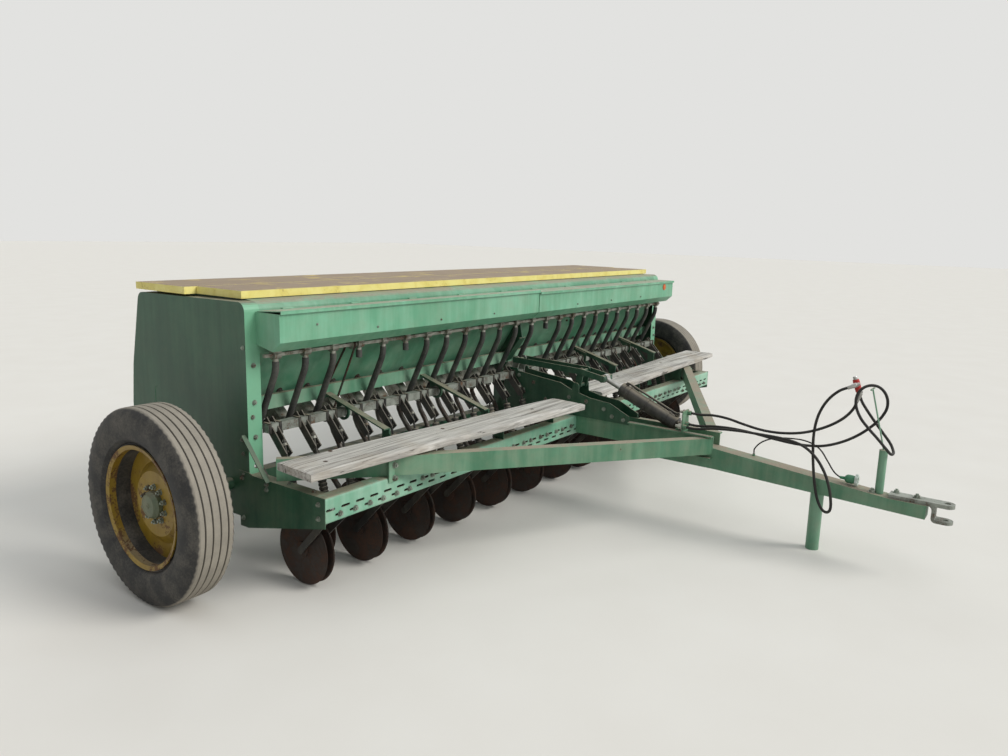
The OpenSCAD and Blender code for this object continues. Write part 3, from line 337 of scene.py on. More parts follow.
nodeFinish = {
    "panelGreen": ["end_panel_left", "end_panel_right", "box_walls"],
    "boxGreen": ["seed_box_left", "seed_box_right", "seed_lid_left", "seed_lid_right"],
    "sheetGreen": ["grain_box"],
    "railGreen": ["front_rail"],
    "frameGreen": ["hose_support", "parking_stand", "box_rails"],
    "deepGreen": ["brace_angles", "corner_brackets", "centre_bulkhead", "centre_plates", "lift_hanger", "lift_link",
                  "main_axle"],
    "beamGreen": ["hitch_diagonal_left", "hitch_diagonal_right", "hitch_beam", "tongue"],
    "wheelYellow": ["rim_left", "rim_right"],
    "hubGreen": ["hub_left", "hub_right"],
    "lidPaint": ["front_lid", "rear_lid"],
    "greyWood": ["plank_left", "plank_right"],
    "tyreRubber": ["tyre_left", "tyre_right"],
    "tubeRubber": ["seed_tubes"],
    "hoseRubber": ["lift_hoses", "light_lead"],
    "discSteel": ["discs_front", "discs_rear"],
    "zinc": ["seed_feed", "feed_cups", "hose_ends"],
    "chainSteel": ["drive_chains"],
    "rodSteel": ["cylinder_rod"],
    "greySteel": ["hitch_clevis", "rockshaft"],
    "blackPaint": ["rock_arms", "pressure_rods", "opener_arms", "cylinder_barrel"],
}
dressed = {node: finish for finish, nodes in nodeFinish.items() for node in nodes}
for name, solid in frame["nodes"].items():
    if name not in dressed:
        print("node without a finish:", name)
        continue
    if not solid.material_slots:
        solid.data.materials.append(None)
    for held in solid.material_slots:
        held.material = finishes[dressed[name]]
print("nodes dressed:", len(dressed))


class Grown(Tree):  # a geometry tree with named sizes
    def __init__(self, name, sizes):
        super().__init__(bpy.data.node_groups.new(name, "GeometryNodeTree"))
        self.face = self.tree.interface
        self.face.new_socket("Geometry", in_out="INPUT", socket_type="NodeSocketGeometry")
        self.ids = {}
        for key, value in sizes.items():
            socket = self.face.new_socket(key, in_out="INPUT", socket_type="NodeSocketFloat")
            socket.default_value = value
            self.ids[key] = socket.identifier
        socket = self.face.new_socket("Finish", in_out="INPUT", socket_type="NodeSocketMaterial")
        self.ids["Finish"] = socket.identifier
        self.face.new_socket("Geometry", in_out="OUTPUT", socket_type="NodeSocketGeometry")
        self.entry = self.tree.nodes.new("NodeGroupInput")

    def size(self, name):
        return Wire(self, self.entry.outputs[name])

    def join(self, *parts):
        node = self.tree.nodes.new("GeometryNodeJoinGeometry")
        for part in parts:
            self.tree.links.new(part.socket, node.inputs[0])
        return Wire(self, node.outputs[0])

    def vector(self, x, y, z):
        return self.add("ShaderNodeCombineXYZ", None, {0: x, 1: y, 2: z})

    def rod(self, sides, radius, depth):
        return self.add("GeometryNodeMeshCylinder", None, {"Vertices": sides, "Radius": radius, "Depth": depth})

    def moved(self, shape, place, turn=(0, 0, 0)):
        return self.add("GeometryNodeTransform", None, {0: shape, "Translation": place, "Rotation": turn})

    def attribute(self, name, kind):
        return self.add("GeometryNodeInputNamedAttribute", {"data_type": kind}, {"Name": name})

    def even(self):  # points at one pitch along each path
        chain = self.add("GeometryNodeMeshToCurve", None, {0: self.size("Geometry")})
        return self.add("GeometryNodeResampleCurve", {"mode": "LENGTH"}, {0: chain, "Length": self.size("Pitch")})

    def laid(self, shape):  # a copy on each point, turned to its facing direction and at its size
        turn = self.add("FunctionNodeAlignRotationToVector", {"axis": "Z"},
                        {"Vector": self.attribute("facing", "FLOAT_VECTOR")})
        return self.add("GeometryNodeInstanceOnPoints", None,
                        {"Points": self.size("Geometry"), "Instance": shape, "Rotation": turn,
                         "Scale": self.attribute("size", "FLOAT")})

    def close(self, shape):
        whole = self.add("GeometryNodeRealizeInstances", None, {0: shape})
        done = self.add("GeometryNodeSetMaterial", None, {0: whole, "Material": self.size("Finish")})
        self.tree.links.new(done.socket, self.tree.nodes.new("NodeGroupOutput").inputs[0])
        return self


def keep(piece, body, finish=None, hides=(), smooth=None):
    bpy.context.collection.objects.link(piece)
    if finish:
        piece.data.materials.clear()
        piece.data.materials.append(finishes[finish])
    if smooth is not None:
        for face in piece.data.polygons:
            face.use_smooth = True
        piece.data.set_sharp_from_angle(angle=math.radians(smooth))
    if body:
        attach(piece, body)
    if hides:
        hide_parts(*hides)
    return piece


def grow(name, mesh, grown, sizes, finish, body, hides=(), smooth=35):  # runs a tree on a mesh and keeps the result
    seed = bpy.data.objects.new(name + ".seed", mesh)
    bpy.context.collection.objects.link(seed)
    modifier = seed.modifiers.new("grown", "NODES")
    modifier.node_group = grown.tree
    for key, value in sizes.items():
        modifier[grown.ids[key]] = value
    modifier[grown.ids["Finish"]] = finishes[finish]
    bpy.context.view_layer.update()
    ready = seed.evaluated_get(bpy.context.evaluated_depsgraph_get())
    made = bpy.data.meshes.new_from_object(ready)
    seed.modifiers.clear()
    bpy.data.objects.remove(seed)
    made.name = name
    return keep(bpy.data.objects.new(name, made), body, finish, hides, smooth)


def points(name, places):  # places with a facing direction and a size each
    mesh = bpy.data.meshes.new(name)
    mesh.from_pydata([tuple(place) for place, _, _ in places], [], [])
    mesh.attributes.new("facing", "FLOAT_VECTOR", "POINT")
    mesh.attributes.new("size", "FLOAT", "POINT")
    facing, size = mesh.attributes["facing"], mesh.attributes["size"]
    for k, (_, way, scale) in enumerate(places):
        facing.data[k].vector = way
        size.data[k].value = scale
    return mesh


def lines(name, paths):  # one edge chain for each path
    mesh = bpy.data.meshes.new(name)
    verts, edges = [], []
    for path in paths:
        start = len(verts)
        verts += [tuple(p) for p in path]
        edges += [(k, k + 1) for k in range(start, len(verts) - 1)]
    mesh.from_pydata(verts, edges, [])
    return mesh


def solid(name, build):  # a piece made in mesh code
    form = bmesh.new()
    build(form)
    bmesh.ops.recalc_face_normals(form, faces=form.faces)
    mesh = bpy.data.meshes.new(name)
    form.to_mesh(mesh)
    form.free()
    return bpy.data.objects.new(name, mesh)


def loft(form, rings, whole=False):  # joins rings of points into a skin, with filled ends unless it closes on itself
    bands = [[form.verts.new(p) for p in ring] for ring in rings]
    count = len(bands[0])
    for near, far in zip(bands, bands[1:] + bands[:1] * whole):
        for k in range(count):
            form.faces.new((near[k], near[(k + 1) % count], far[(k + 1) % count], far[k]))
    if not whole:
        form.faces.new(bands[0][::-1])
        form.faces.new(bands[-1])


def turned(form, start, way, outline, sides=24):  # a turned part: (distance along, radius) pairs
    way = Vector(way).normalized()
    side = way.orthogonal().normalized()
    other = way.cross(side)
    loft(form, [[start + way * at + (side * math.cos(a) + other * math.sin(a)) * radius
                 for a in (2 * math.pi * k / sides for k in range(sides))] for at, radius in outline])


cordKinds = {  # CAD node, thickness, far end and stiffness
    "hose": ("lift_hoses", 0.015, "fitting", "stiff"),
    "lead": ("light_lead", 0.008, "plug", "medium"),
}
routes = {
    "hoseTop": [(-22, -1125, 655), (-22, -1185, 655), (-24, -1260, 664), (-27, -1350, 660), (-30, -1450, 642),
        (-30, -1560, 627), (-28, -1670, 630), (-22, -1780, 652), (-14, -1880, 696), (-6, -1960, 752), (-2, -2010, 815),
        (-4, -2030, 880)],
    "hoseLoop": [(-50, -1125, 592), (-50, -1185, 592), (-50, -1283, 606), (-50, -1400, 612), (-46, -1520, 604),
        (-40, -1640, 590), (-30, -1760, 582), (-14, -1870, 590), (2, -1960, 622), (14, -2040, 672), (22, -2100, 728),
        (30, -2144, 785), (36, -2166, 845), (32, -2156, 905), (14, -2118, 948), (-10, -2070, 950), (-34, -2034, 914),
        (-50, -2030, 856), (-58, -2058, 792), (-62, -2106, 738), (-62, -2154, 692), (-52, -2196, 645),
        (-23, -2216, 614), (15, -2222, 606), (53, -2216, 614), (80, -2194, 644), (88, -2152, 692), (84, -2106, 748),
        (78, -2062, 806), (74, -2032, 852), (70, -2016, 898)],
    "hoseLow": [(-82, -1125, 580), (-82, -1185, 580), (-84, -1290, 600), (-90, -1430, 614), (-98, -1570, 618),
        (-108, -1700, 618), (-124, -1800, 604), (-144, -1876, 562), (-164, -1934, 496), (-177, -1970, 420),
        (-179, -1986, 350), (-164, -1984, 295), (-136, -1960, 268), (-106, -1928, 272), (-85, -1898, 310),
        (-76, -1878, 370), (-73, -1862, 450), (-69, -1848, 550), (-62, -1840, 660), (-54, -1850, 760),
        (-46, -1884, 845), (-38, -1938, 908), (-30, -1998, 940)],
    "lightLead": [(28, -1500, 466), (28, -1502, 498), (22, -1542, 545), (16, -1610, 580), (12, -1700, 597),
        (14, -1790, 596), (13, -1860, 566), (9, -1910, 505), (4, -1948, 456), (0, -1985, 434), (0, -2010, 434)],
}


bulge = 1.006  # a hose's curve against the straight runs between its knots


def hoseCurve(name, route, width):
    curve = bpy.data.curves.new(name, "CURVE")
    curve.dimensions = "3D"
    curve.bevel_depth = width / 2
    curve.bevel_resolution = 4
    curve.resolution_u = 6
    curve.use_fill_caps = True
    line = curve.splines.new("BEZIER")
    line.bezier_points.add(len(route) - 1)
    knots = [spot(*place) for place in route]
    for k, knot in enumerate(line.bezier_points):
        before, after = knots[max(k - 1, 0)], knots[min(k + 1, len(knots) - 1)]
        way = (after - before).normalized()
        knot.co = knots[k]
        knot.handle_left = knots[k] - way * (knots[k] - before).length / 3
        knot.handle_right = knots[k] + way * (after - knots[k]).length / 3
    piece = bpy.data.objects.new(name, curve)
    bpy.context.collection.objects.link(piece)
    curve.materials.append(finishes["hoseRubber"])
    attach(piece, "root")
    return piece, sum((b - a).length for a, b in zip(knots, knots[1:])) * bulge


def hoseEnd(name, route, outline, finish, sides=24):
    last, before = spot(*route[-1]), spot(*route[-2])
    piece = solid(name, lambda form: turned(form, last, last - before, outline, sides))
    return keep(piece, "root", finish, ("hose_ends",), 35)


endOutlines = {  # distance from the hose's end and radius, in metres
    "coupler": [(-0.022, 0.0078), (-0.022, 0.0098), (0.0, 0.0105), (0.001, 0.012), (0.026, 0.012), (0.028, 0.0085),
                (0.038, 0.0085), (0.041, 0.0068)],
    "sleeve": [(-0.012, 0.0078), (-0.01, 0.0115), (0.0, 0.0145), (0.006, 0.0168), (0.064, 0.0168), (0.07, 0.0150)],
    "nose": [(0.07, 0.0105), (0.084, 0.0105), (0.087, 0.009), (0.087, 0.004)],
    "plugBody": [(-0.03, 0.0045), (-0.028, 0.007), (-0.004, 0.009), (0.0, 0.016), (0.006, 0.0205), (0.012, 0.023),
                 (0.036, 0.023), (0.04, 0.0215), (0.05, 0.0215)],
}


def starFace(form):  # the plug's seven-lobed front
    centre = spot(0, -2060, 434)
    ring = [(0.030 + 0.003 * math.cos(7 * a), a) for a in (2 * math.pi * k / 84 for k in range(84))]
    rows = [(0.0, 1.0), (0.011, 1.0), (0.014, 0.93), (0.014, 0.6), (0.009, 0.56), (0.009, 0.2), (0.0135, 0.17),
            (0.0135, 0.02)]
    loft(form, [[centre + Vector((r * share * math.sin(a), -at, r * share * math.cos(a))) for r, a in ring]
                for at, share in rows])


ends = {
    "hoseTop": [hoseEnd("topCoupler", routes["hoseTop"], endOutlines["coupler"], "rodSteel")],
    "hoseLow": [hoseEnd("lowCoupler", routes["hoseLow"], endOutlines["coupler"], "rodSteel")],
    "hoseLoop": [hoseEnd("redSleeve", routes["hoseLoop"], endOutlines["sleeve"], "redRubber"),
                 hoseEnd("sleeveNose", routes["hoseLoop"], endOutlines["nose"], "rodSteel")],
    "lightLead": [hoseEnd("plugBody", routes["lightLead"], endOutlines["plugBody"], "plugGreen"),
                  keep(solid("plugFace", starFace), "root", "plugPale", ("hose_ends",), 30)],
}
for name, route in routes.items():
    node, width, end, stiffness = cordKinds["lead" if name == "lightLead" else "hose"]
    piece, run = hoseCurve(name, route, width)
    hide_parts(node)
    tuple(spot(*route[0]))
print("hoses and lead laid")


def boltTree():  # a head, a washer and the stud's end
    grown = Grown("bolts", {"Across": 0.019, "Head": 0.008, "Washer": 0.014, "Stud": 0.006})
    across, head, washer, stud = (grown.size(name) for name in ("Across", "Head", "Washer", "Stud"))
    rods = ((6, across * 0.577, head, head * 0.5 + 0.002), (14, washer, 0.0025, 0.00125),
            (8, across * 0.29, stud, head + 0.002 + stud * 0.5))
    parts = [grown.moved(grown.rod(sides, radius, depth), grown.vector(0, 0, lift))
             for sides, radius, depth, lift in rods]
    return grown.close(grown.laid(grown.join(*parts)))


boltGrown = boltTree()
front, back, up = (0, -1, 0), (0, 1, 0), (0, 0, 1)
slope = {"y": 172, "top": 1100, "back": 188, "drop": 300}  # the grain box's front sheet
slopeOut = Vector((0, -slope["drop"], -slope["back"])).normalized()


def slopeHeight(y):
    return slope["top"] - (y - slope["y"]) * slope["drop"] / slope["back"]


rows = {"count": 24, "pitch": 177.8, "gap": 14}
rowMiddle = (rows["count"] - 1) / 2
rowX = [(k - rowMiddle) * rows["pitch"] + math.copysign(rows["gap"] / 2, k - rowMiddle) for k in range(rows["count"])]
edgeX = 2179.6  # outside of the end panels
boltPlaces = {  # machine millimetres, the way the head faces and its size
    "railBolts": [((side * x, -358, 435), front, 1.0) for side in (-1, 1) for x in (2095, 2003, 1912, 1825, 1734, 1644)]
        + [((side * x, -358, 465), front, 1.0) for side in (-1, 1)
           for x in (1549, 1476, 1371, 1298, 1194, 1120, 1016, 942, 838, 765, 660, 587, 482, 409, 305, 231, 127)],
    "flangeBolts": [((side * 2140, 172, z), front, 0.9) for side in (-1, 1) for z in (868, 700, 1045)]
        + [((side * 2152, 172, 799), front, 0.8) for side in (-1, 1)],
    "panelBolts": [((side * edgeX, y, z), (side, 0, 0), 0.75) for side in (-1, 1)
                   for y, z in ((212, 620), (212, 520), (190, 1130), (1120, 420), (1120, 600))],
    "bracketBolts": [((side * (edgeX + 4), y, z), (side, 0, 0), 0.9) for side in (-1, 1)
                     for y, z in ((-318, 490), (-318, 424), (40, 480), (222, 500), (222, 300), (210, 690), (38, 505))],
    "topBolts": [((side * 2150, y, 524), up, 0.8) for side in (-1, 1) for y in (-250, -80, 90)],
    "beamBolts": [((side * 58, y, z), (side, 0, 0), 1.0) for side in (-1, 1)
                  for y, z in ((-1240, 520), (-1240, 440), (-1190, 520), (-1190, 440))],
    "plateBolts": [((side * 66, y, z), (side, 0, 0), 1.0) for side in (-1, 1)
                   for y, z in ((-700, 552), (-620, 560), (-560, 600), (-430, 630), (-300, 560), (-300, 640),
                                (-240, 560), (-120, 600), (60, 640), (100, 735), (-20, 700), (250, 640))],
    "clevisBolts": [((-18, -2150, 391), up, 1.5), ((22, -2260, 404), up, 1.25), ((0, -2360, 404), up, 1.35)],
    "seedBoxBolts": [((x, 0, z), front, 0.45) for x, z in ((-1900, 1235), (-1500, 1190), (-1000, 1190), (-500, 1190),
                     (500, 1190), (1000, 1190), (1500, 1190))],
    "gateBolts": [((x, 210, slopeHeight(210)), slopeOut, 0.7) for x in (-2080, -700, 700, 2080)],
}
for name, places in boltPlaces.items():
    mesh = points(name, [(spot(*place), way, size) for place, way, size in places])
    grow(name, mesh, boltGrown, {}, "boltSteel", "root")


def wingTree():  # a gate's wing nut on its washer
    grown = Grown("wings", {"Span": 0.054, "Deep": 0.015})
    span, deep = grown.size("Span"), grown.size("Deep")
    parts = [grown.moved(grown.rod(16, span * 0.3, 0.003), (0, 0, 0.0015)),
             grown.moved(grown.rod(12, span * 0.17, deep), grown.vector(0, 0, deep * 0.5))]
    slab = grown.add("GeometryNodeMeshCube", None, {"Size": grown.vector(span * 0.42, 0.005, deep)})
    for side in (-1, 1):
        parts.append(grown.moved(slab, grown.vector(span * 0.3 * side, 0, deep * 1.1), (0, -0.6 * side, 0)))
    return grown.close(grown.laid(grown.join(*parts)))


gates = [(spot(x - 10, 316, slopeHeight(316)), slopeOut, 1.0) for x in rowX]
grow("gateNuts", points("gates", gates), wingTree(), {}, "ribbonSteel", "root")
turns = [2 * math.pi * (k + 0.5) / wheel["bolts"] for k in range(wheel["bolts"])]
for side, body in ((-1, "wheel_left"), (1, "wheel_right")):
    heads = [(spot(side * wheel["boltX"], wheel["y"] + wheel["circle"] * math.cos(a),
                   wheel["z"] + wheel["circle"] * math.sin(a)), (side, 0, 0), 1.0) for a in turns]
    grow("hubBolts." + body, points("hub", heads), boltGrown, {"Across": 0.021, "Head": 0.012, "Stud": 0.009},
         "boltSteel", body)
print("bolts set")


tubeSizes = {"width": 0.034, "pitch": 0.0042, "rib": 0.07, "y": 121, "top": 1060, "straight": 10, "stub": 40,
             "bend": 150, "lean": 26, "run": 318}


def tubePath(x, bare):  # down from a cup, bent back and on to the feed cups
    y, top, bend = tubeSizes["y"], tubeSizes["top"], tubeSizes["bend"]
    if bare:
        return [spot(x, y, top - tubeSizes["stub"] * k / 12) for k in range(13)]
    start = top - tubeSizes["straight"]
    path = [spot(x, y, top), spot(x, y, start)]
    lean = math.radians(tubeSizes["lean"])
    for a in (lean * k / 8 for k in range(1, 9)):
        path.append(spot(x, y + bend * (1 - math.cos(a)), start - bend * math.sin(a)))
    last = Vector((0, math.sin(lean), -math.cos(lean))) * tubeSizes["run"] / 1000
    return path + [path[-1] + last * share for share in (0.5, 1.0)]


def tubeTree():  # a ribbed tube along each path
    grown = Grown("tubes", {"Width": 0.034, "Pitch": 0.0042, "Rib": 0.07})
    wave = grown.add("ShaderNodeMath", {"operation": "MODULO"}, {0: grown.add("GeometryNodeInputIndex"), 1: 2.0})
    swelled = grown.add("GeometryNodeSetCurveRadius", None,
                        {0: grown.even(), "Radius": 1 - wave * grown.size("Rib")})
    ring = grown.add("GeometryNodeCurvePrimitiveCircle", None,
                     {"Resolution": 12, "Radius": grown.size("Width") * 0.5})
    return grown.close(grown.add("GeometryNodeCurveToMesh", None, {0: swelled, 1: ring, "Fill Caps": True}))


tubeGrown = tubeTree()
bareRows = (3, 5, 13)  # rows whose tubes are gone
grow("seedTubes", lines("tubes", [tubePath(x, k in bareRows) for k, x in enumerate(rowX)]), tubeGrown,
     {"Width": tubeSizes["width"], "Pitch": tubeSizes["pitch"], "Rib": tubeSizes["rib"]}, "tubeRubber", "root",
     ("seed_tubes",), 60)
print("small-seed tubes hung")


plankSizes = {"width": 250, "thick": 39, "top": 669}
planks = {  # CAD node, middle x and y, half length and turn in degrees
    "plankLeft": ("plank_left", -1276, -346, 1000, -4.65),
    "plankRight": ("plank_right", 1222, -260, 1120, 3.15),
}


def wornPlank(form, middleX, middleY, half, turn, seed):  # a board with a grained top and broken edges
    rand = random.Random(seed)
    angle = math.radians(turn)
    along, across = Vector((math.cos(angle), math.sin(angle), 0)), Vector((-math.sin(angle), math.cos(angle), 0))
    middle = spot(middleX, middleY, plankSizes["top"])
    width, thick = plankSizes["width"] / 2000, plankSizes["thick"] / 1000
    rings, steps, cells = [], 90, 16
    phase = [rand.uniform(0, 6.3) for _ in range(4)]
    for step in range(steps + 1):
        t = -1 + 2 * step / steps
        at = t * (half / 1000 - 0.001)
        ring = []
        for k in range(cells + 1):  # top
            v = -1 + 2 * k / cells
            broad, fine = math.sin(9 * v + 3 * t + phase[1]), math.sin(23 * v + 7 * t + phase[2])
            drop = 0.0008 + 0.0007 * broad + 0.0006 * fine
            edge = 0.004 * max(0, abs(v) - 0.94) / 0.06 + 0.003 * max(0, abs(t) - 0.995) / 0.005
            ring.append((v * (width - 0.001), -max(drop, 0) - edge))
        ring += [(width, -0.007), (width, -thick + 0.004), (width - 0.004, -thick), (-width + 0.004, -thick),
                 (-width, -thick + 0.004), (-width, -0.007)]
        wave = 0.0012 * math.sin(6 * t + phase[3])
        ring = [(min(max(v + wave, -width), width) if abs(v) < width else v, z) for v, z in ring]
        rings.append([middle + along * at + across * v + Vector((0, 0, z)) for v, z in ring])
    loft(form, rings)


for number, (name, (node, x, y, half, turn)) in enumerate(planks.items()):
    keep(solid(name, lambda form: wornPlank(form, x, y, half, turn, number + 3)), "root", "greyWood", (node,), 40)
print("planks laid")


tyreSizes = {"radius": 0.45, "floor": 0.443, "lip": 0.0042, "groove": 0.0024, "notches": 76, "notchDepth": 0.0045}
tyreOutline = [  # distance from the wheel's middle plane and radius
    (-0.070, 0.269), (-0.073, 0.291), (-0.084, 0.299), (-0.096, 0.311), (-0.1025, 0.345), (-0.104, 0.376),
    (-0.101, 0.402), (-0.098, 0.418), (-0.093, 0.431), (-0.088, 0.441), (-0.082, 0.4465), (-0.0755, 0.449)]
grooves = (-0.0546, -0.0185, 0.0185, 0.0546)


def tyreSection():
    outer, floor, lip, groove = (tyreSizes[name] for name in ("radius", "floor", "lip", "groove"))
    crown = [(g + aside, r) for g in grooves
             for aside, r in ((-lip, outer), (-groove, floor), (groove, floor), (lip, outer))]
    return tyreOutline + crown + [(-x, r) for x, r in reversed(tyreOutline)] + [(0.045, 0.262), (-0.045, 0.262)]


def ribbedTyre(form, side):  # each other ring is drawn in at the shoulders, which makes the notches
    centre = spot(side * wheel["x"], wheel["y"], wheel["z"])
    steps, rings = 2 * tyreSizes["notches"], []
    for k in range(steps):
        a = 2 * math.pi * k / steps
        ring = []
        for x, r in tyreSection():
            shoulder = 0.417 < r < 0.4475 and abs(x) > 0.08
            cut = tyreSizes["notchDepth"] if shoulder and k % 2 == 0 else 0.0
            ring.append(centre + Vector((side * (x - math.copysign(cut * 0.7, x)),
                                         (r - cut * 0.3) * math.cos(a), (r - cut * 0.3) * math.sin(a))))
        rings.append(ring)
    loft(form, rings, whole=True)


for side, name in ((-1, "left"), (1, "right")):
    keep(solid("tyre." + name, lambda form: ribbedTyre(form, side)), "wheel_" + name, "tyreRubber",
         ("tyre_" + name,), 28)
print("tyres shaped")


def beltPath(a, ra, b, rb, steps=40):  # round two sprockets, (y, z) each
    away = math.atan2(b[1] - a[1], b[0] - a[0])
    lean = math.acos((ra - rb) / math.dist(a, b))
    path = [(a[0] + ra * math.cos(t), a[1] + ra * math.sin(t))
            for t in (away + lean + (2 * math.pi - 2 * lean) * k / steps for k in range(steps + 1))]
    path += [(b[0] + rb * math.cos(t), b[1] + rb * math.sin(t))
             for t in (away - lean + 2 * lean * k / steps for k in range(steps + 1))]
    return path + path[:1]


def chainTree():  # rollers and pairs of plates
    grown = Grown("chain", {"Pitch": 0.0127, "Roller": 0.0042, "Width": 0.009})
    even = grown.even()
    along = grown.add("FunctionNodeAlignRotationToVector", {"axis": "Z"},
                      {"Vector": grown.add("GeometryNodeInputTangent")})
    roller = grown.moved(grown.rod(10, grown.size("Roller"), grown.size("Width")), (0, 0, 0), (0, math.pi / 2, 0))
    slab = grown.add("GeometryNodeMeshCube", None, {"Size": grown.vector(0.0014, 0.0062, grown.size("Pitch") * 1.25)})
    plates = [grown.moved(slab, (x, 0, 0.0063)) for x in (-0.004, 0.004)]
    rollers = grown.add("GeometryNodeInstanceOnPoints", None, {"Points": even, "Instance": roller})
    links = grown.add("GeometryNodeInstanceOnPoints", None,
                      {"Points": even, "Instance": grown.join(*plates), "Rotation": along})
    return grown.close(grown.join(rollers, links))


sprockets = {"upper": (121, 1092), "upperRadius": 24, "lower": (335, 705), "lowerRadius": 52, "chain": 4.3, "aside": 34}
chainX = (rowX[2] + rowX[3]) / 2 + sprockets["aside"]
loop = [spot(chainX, y, z) for y, z in beltPath(sprockets["upper"], sprockets["upperRadius"] + sprockets["chain"],
                                                sprockets["lower"], sprockets["lowerRadius"] + sprockets["chain"])]
grow("driveChain", lines("chain", [loop]), chainTree(), {}, "chainSteel", "root", ("drive_chains",))
print("chain hung")


grainSizes = {"Width": 0.030, "Pitch": 0.0075, "Rib": 0.13}
grainRoutes = (  # machine y and z for the front and the rear rank
    [(345, 652), (343, 620), (322, 580), (285, 535), (240, 490), (180, 440), (110, 375), (50, 315), (10, 268),
     (2, 246)],
    [(345, 652), (343, 620), (325, 580), (292, 535), (262, 480), (240, 420), (218, 350), (200, 290), (190, 246)],
)
grainLines = lines("grain", [[spot(x, y, z) for y, z in grainRoutes[k % 2]] for k, x in enumerate(rowX)])
grainTubes = grow("grainTubes", grainLines, tubeGrown, grainSizes, "ribbonSteel", None, (), 60)
tuple(spot(0, 345, 630))
tuple(spot(0, 60, 290))
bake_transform(grainTubes)
print("grain tubes hung")


def piped(form, path, radius, sides=12):  # a bent round bar
    way = (path[1] - path[0]).normalized()
    side = way.orthogonal().normalized()
    rings = []
    for k, place in enumerate(path):
        way = (path[min(k + 1, len(path) - 1)] - path[max(k - 1, 0)]).normalized()
        side = (side - way * side.dot(way)).normalized()
        other = way.cross(side)
        rings.append([place + (side * math.cos(a) + other * math.sin(a)) * radius
                      for a in (2 * math.pi * j / sides for j in range(sides))])
    loft(form, rings)


def eased(corners, radius=14, steps=4):  # rounds the corners of a route in machine millimetres
    path = [Vector(corners[0])]
    for before, here, after in zip(corners, corners[1:], corners[2:]):
        before, here, after = Vector(before), Vector(here), Vector(after)
        near = here + (before - here).normalized() * min(radius, (before - here).length / 2)
        far = here + (after - here).normalized() * min(radius, (after - here).length / 2)
        for k in range(steps + 1):
            t = k / steps
            path.append(near * (1 - t) ** 2 + here * 2 * t * (1 - t) + far * t ** 2)
    path.append(Vector(corners[-1]))
    return [spot(*place) for place in path]


def slabbed(form, low, high, bevel=0.0015):  # a flat block with broken edges, machine millimetres
    a, b = spot(*low), spot(*high)
    place = Matrix.Translation((a + b) / 2) @ Matrix.Diagonal((*(b - a), 1))
    made = bmesh.ops.create_cube(form, size=1.0, matrix=place)
    edges = list({edge for vert in made["verts"] for edge in vert.link_edges})
    bmesh.ops.bevel(form, geom=edges, offset=bevel, segments=2, profile=0.5, affect="EDGES")


barrel = {"pin": (-1062, 551), "along": Vector((0, 0.917, 0.3989)), "over": Vector((0, -0.3989, 0.917)),
          "ports": (432, 60), "clamps": (110, 260, 400),
          "pipe": ((432, 40), (432, 58), (70, 58), (52, 70))}


def barrelSpot(along, over):
    return Vector((0, *barrel["pin"])) + barrel["along"] * along + barrel["over"] * over


def cylinderPipe(form):  # the pipe between the cylinder's ports, its clamps and the ports' elbows
    piped(form, eased([barrelSpot(*place) for place in barrel["pipe"]]), 0.0065)
    for along in barrel["clamps"]:
        start = spot(*barrelSpot(along, 0)) - barrel["along"] * 0.007
        turned(form, start, barrel["along"], [(0, 0.043), (0, 0.0462), (0.014, 0.0462), (0.014, 0.043)], 32)
    for along in barrel["ports"]:
        turned(form, spot(*barrelSpot(along, 40)), barrel["over"],
               [(0, 0.012), (0.012, 0.012), (0.013, 0.009), (0.020, 0.009)], 6)


keep(solid("cylinderPipe", cylinderPipe), "cylinder_barrel", "blackPaint", (), 35)

ports = [(route[0][0], route[0][2]) for name, route in routes.items() if name != "lightLead"]
nuts = [(spot(x, -1099, z), back, 1.5) for x, z in ports]  # behind the beam's plate
grow("fittingNuts", points("fittings", nuts), boltGrown, {"Head": 0.014, "Stud": 0.012}, "zinc", "root")

joint = {"x": 1755, "half": 37, "y": (-366, -358.2), "z": (500, 606), "bolts": (518, 582)}


def jointPlates(form):  # plates that hold the diagonals on the front rail
    for side in (-1, 1):
        x, (near, far), (low, high) = side * joint["x"], joint["y"], joint["z"]
        slabbed(form, (x - joint["half"], near, low), (x + joint["half"], far, high))


keep(solid("jointPlates", jointPlates), "root", "frameGreen", (), 35)
heads = [(spot(side * joint["x"], joint["y"][0], z), front, 1.15) for side in (-1, 1) for z in joint["bolts"]]
grow("jointBolts", points("joints", heads), boltGrown, {}, "boltSteel", "root")

rods = {"foot": (-20, 320), "way": (80, 305), "nuts": ((352, 1.0), (58, 1.35)), "pin": 374}
rodWay = Vector((0, *rods["way"])).normalized()


def rodSpot(x, along):  # millimetres up a row's pressure rod
    return spot(x, *rods["foot"]) + rodWay * along / 1000


heads = [(rodSpot(x, at), rodWay, size) for x in rowX for at, size in rods["nuts"]]
grow("rodNuts", points("rods", heads), boltGrown, {"Head": 0.010, "Stud": 0.004}, "zinc", "openers")


def rodPins(form):  # pins through the rods' tops
    for x in rowX:
        path = [rodSpot(x + aside, rods["pin"]) + Vector((0, 0, lift))
                for aside, lift in ((-9.5, 0.001), (-7, 0), (7, 0), (9.5, -0.001))]
        piped(form, path, 0.0019, 8)


keep(solid("rodPins", rodPins), "openers", "zinc", (), 35)


clamp = {"aside": 30, "half": 7, "thick": 4.5, "y": (133, 187), "z": (708, 762)}


def armClamps(form):  # bent straps that clamp each row's arms on the square shaft
    (near, far), (low, high), half, thick = clamp["y"], clamp["z"], clamp["half"], clamp["thick"]
    for x in (row + side * clamp["aside"] for row in rowX for side in (-1, 1)):
        for start, end, foot in ((near, near + thick, low), (far - thick, far, low), (near, far, high - thick)):
            slabbed(form, (x - half, start, foot), (x + half, end, high))


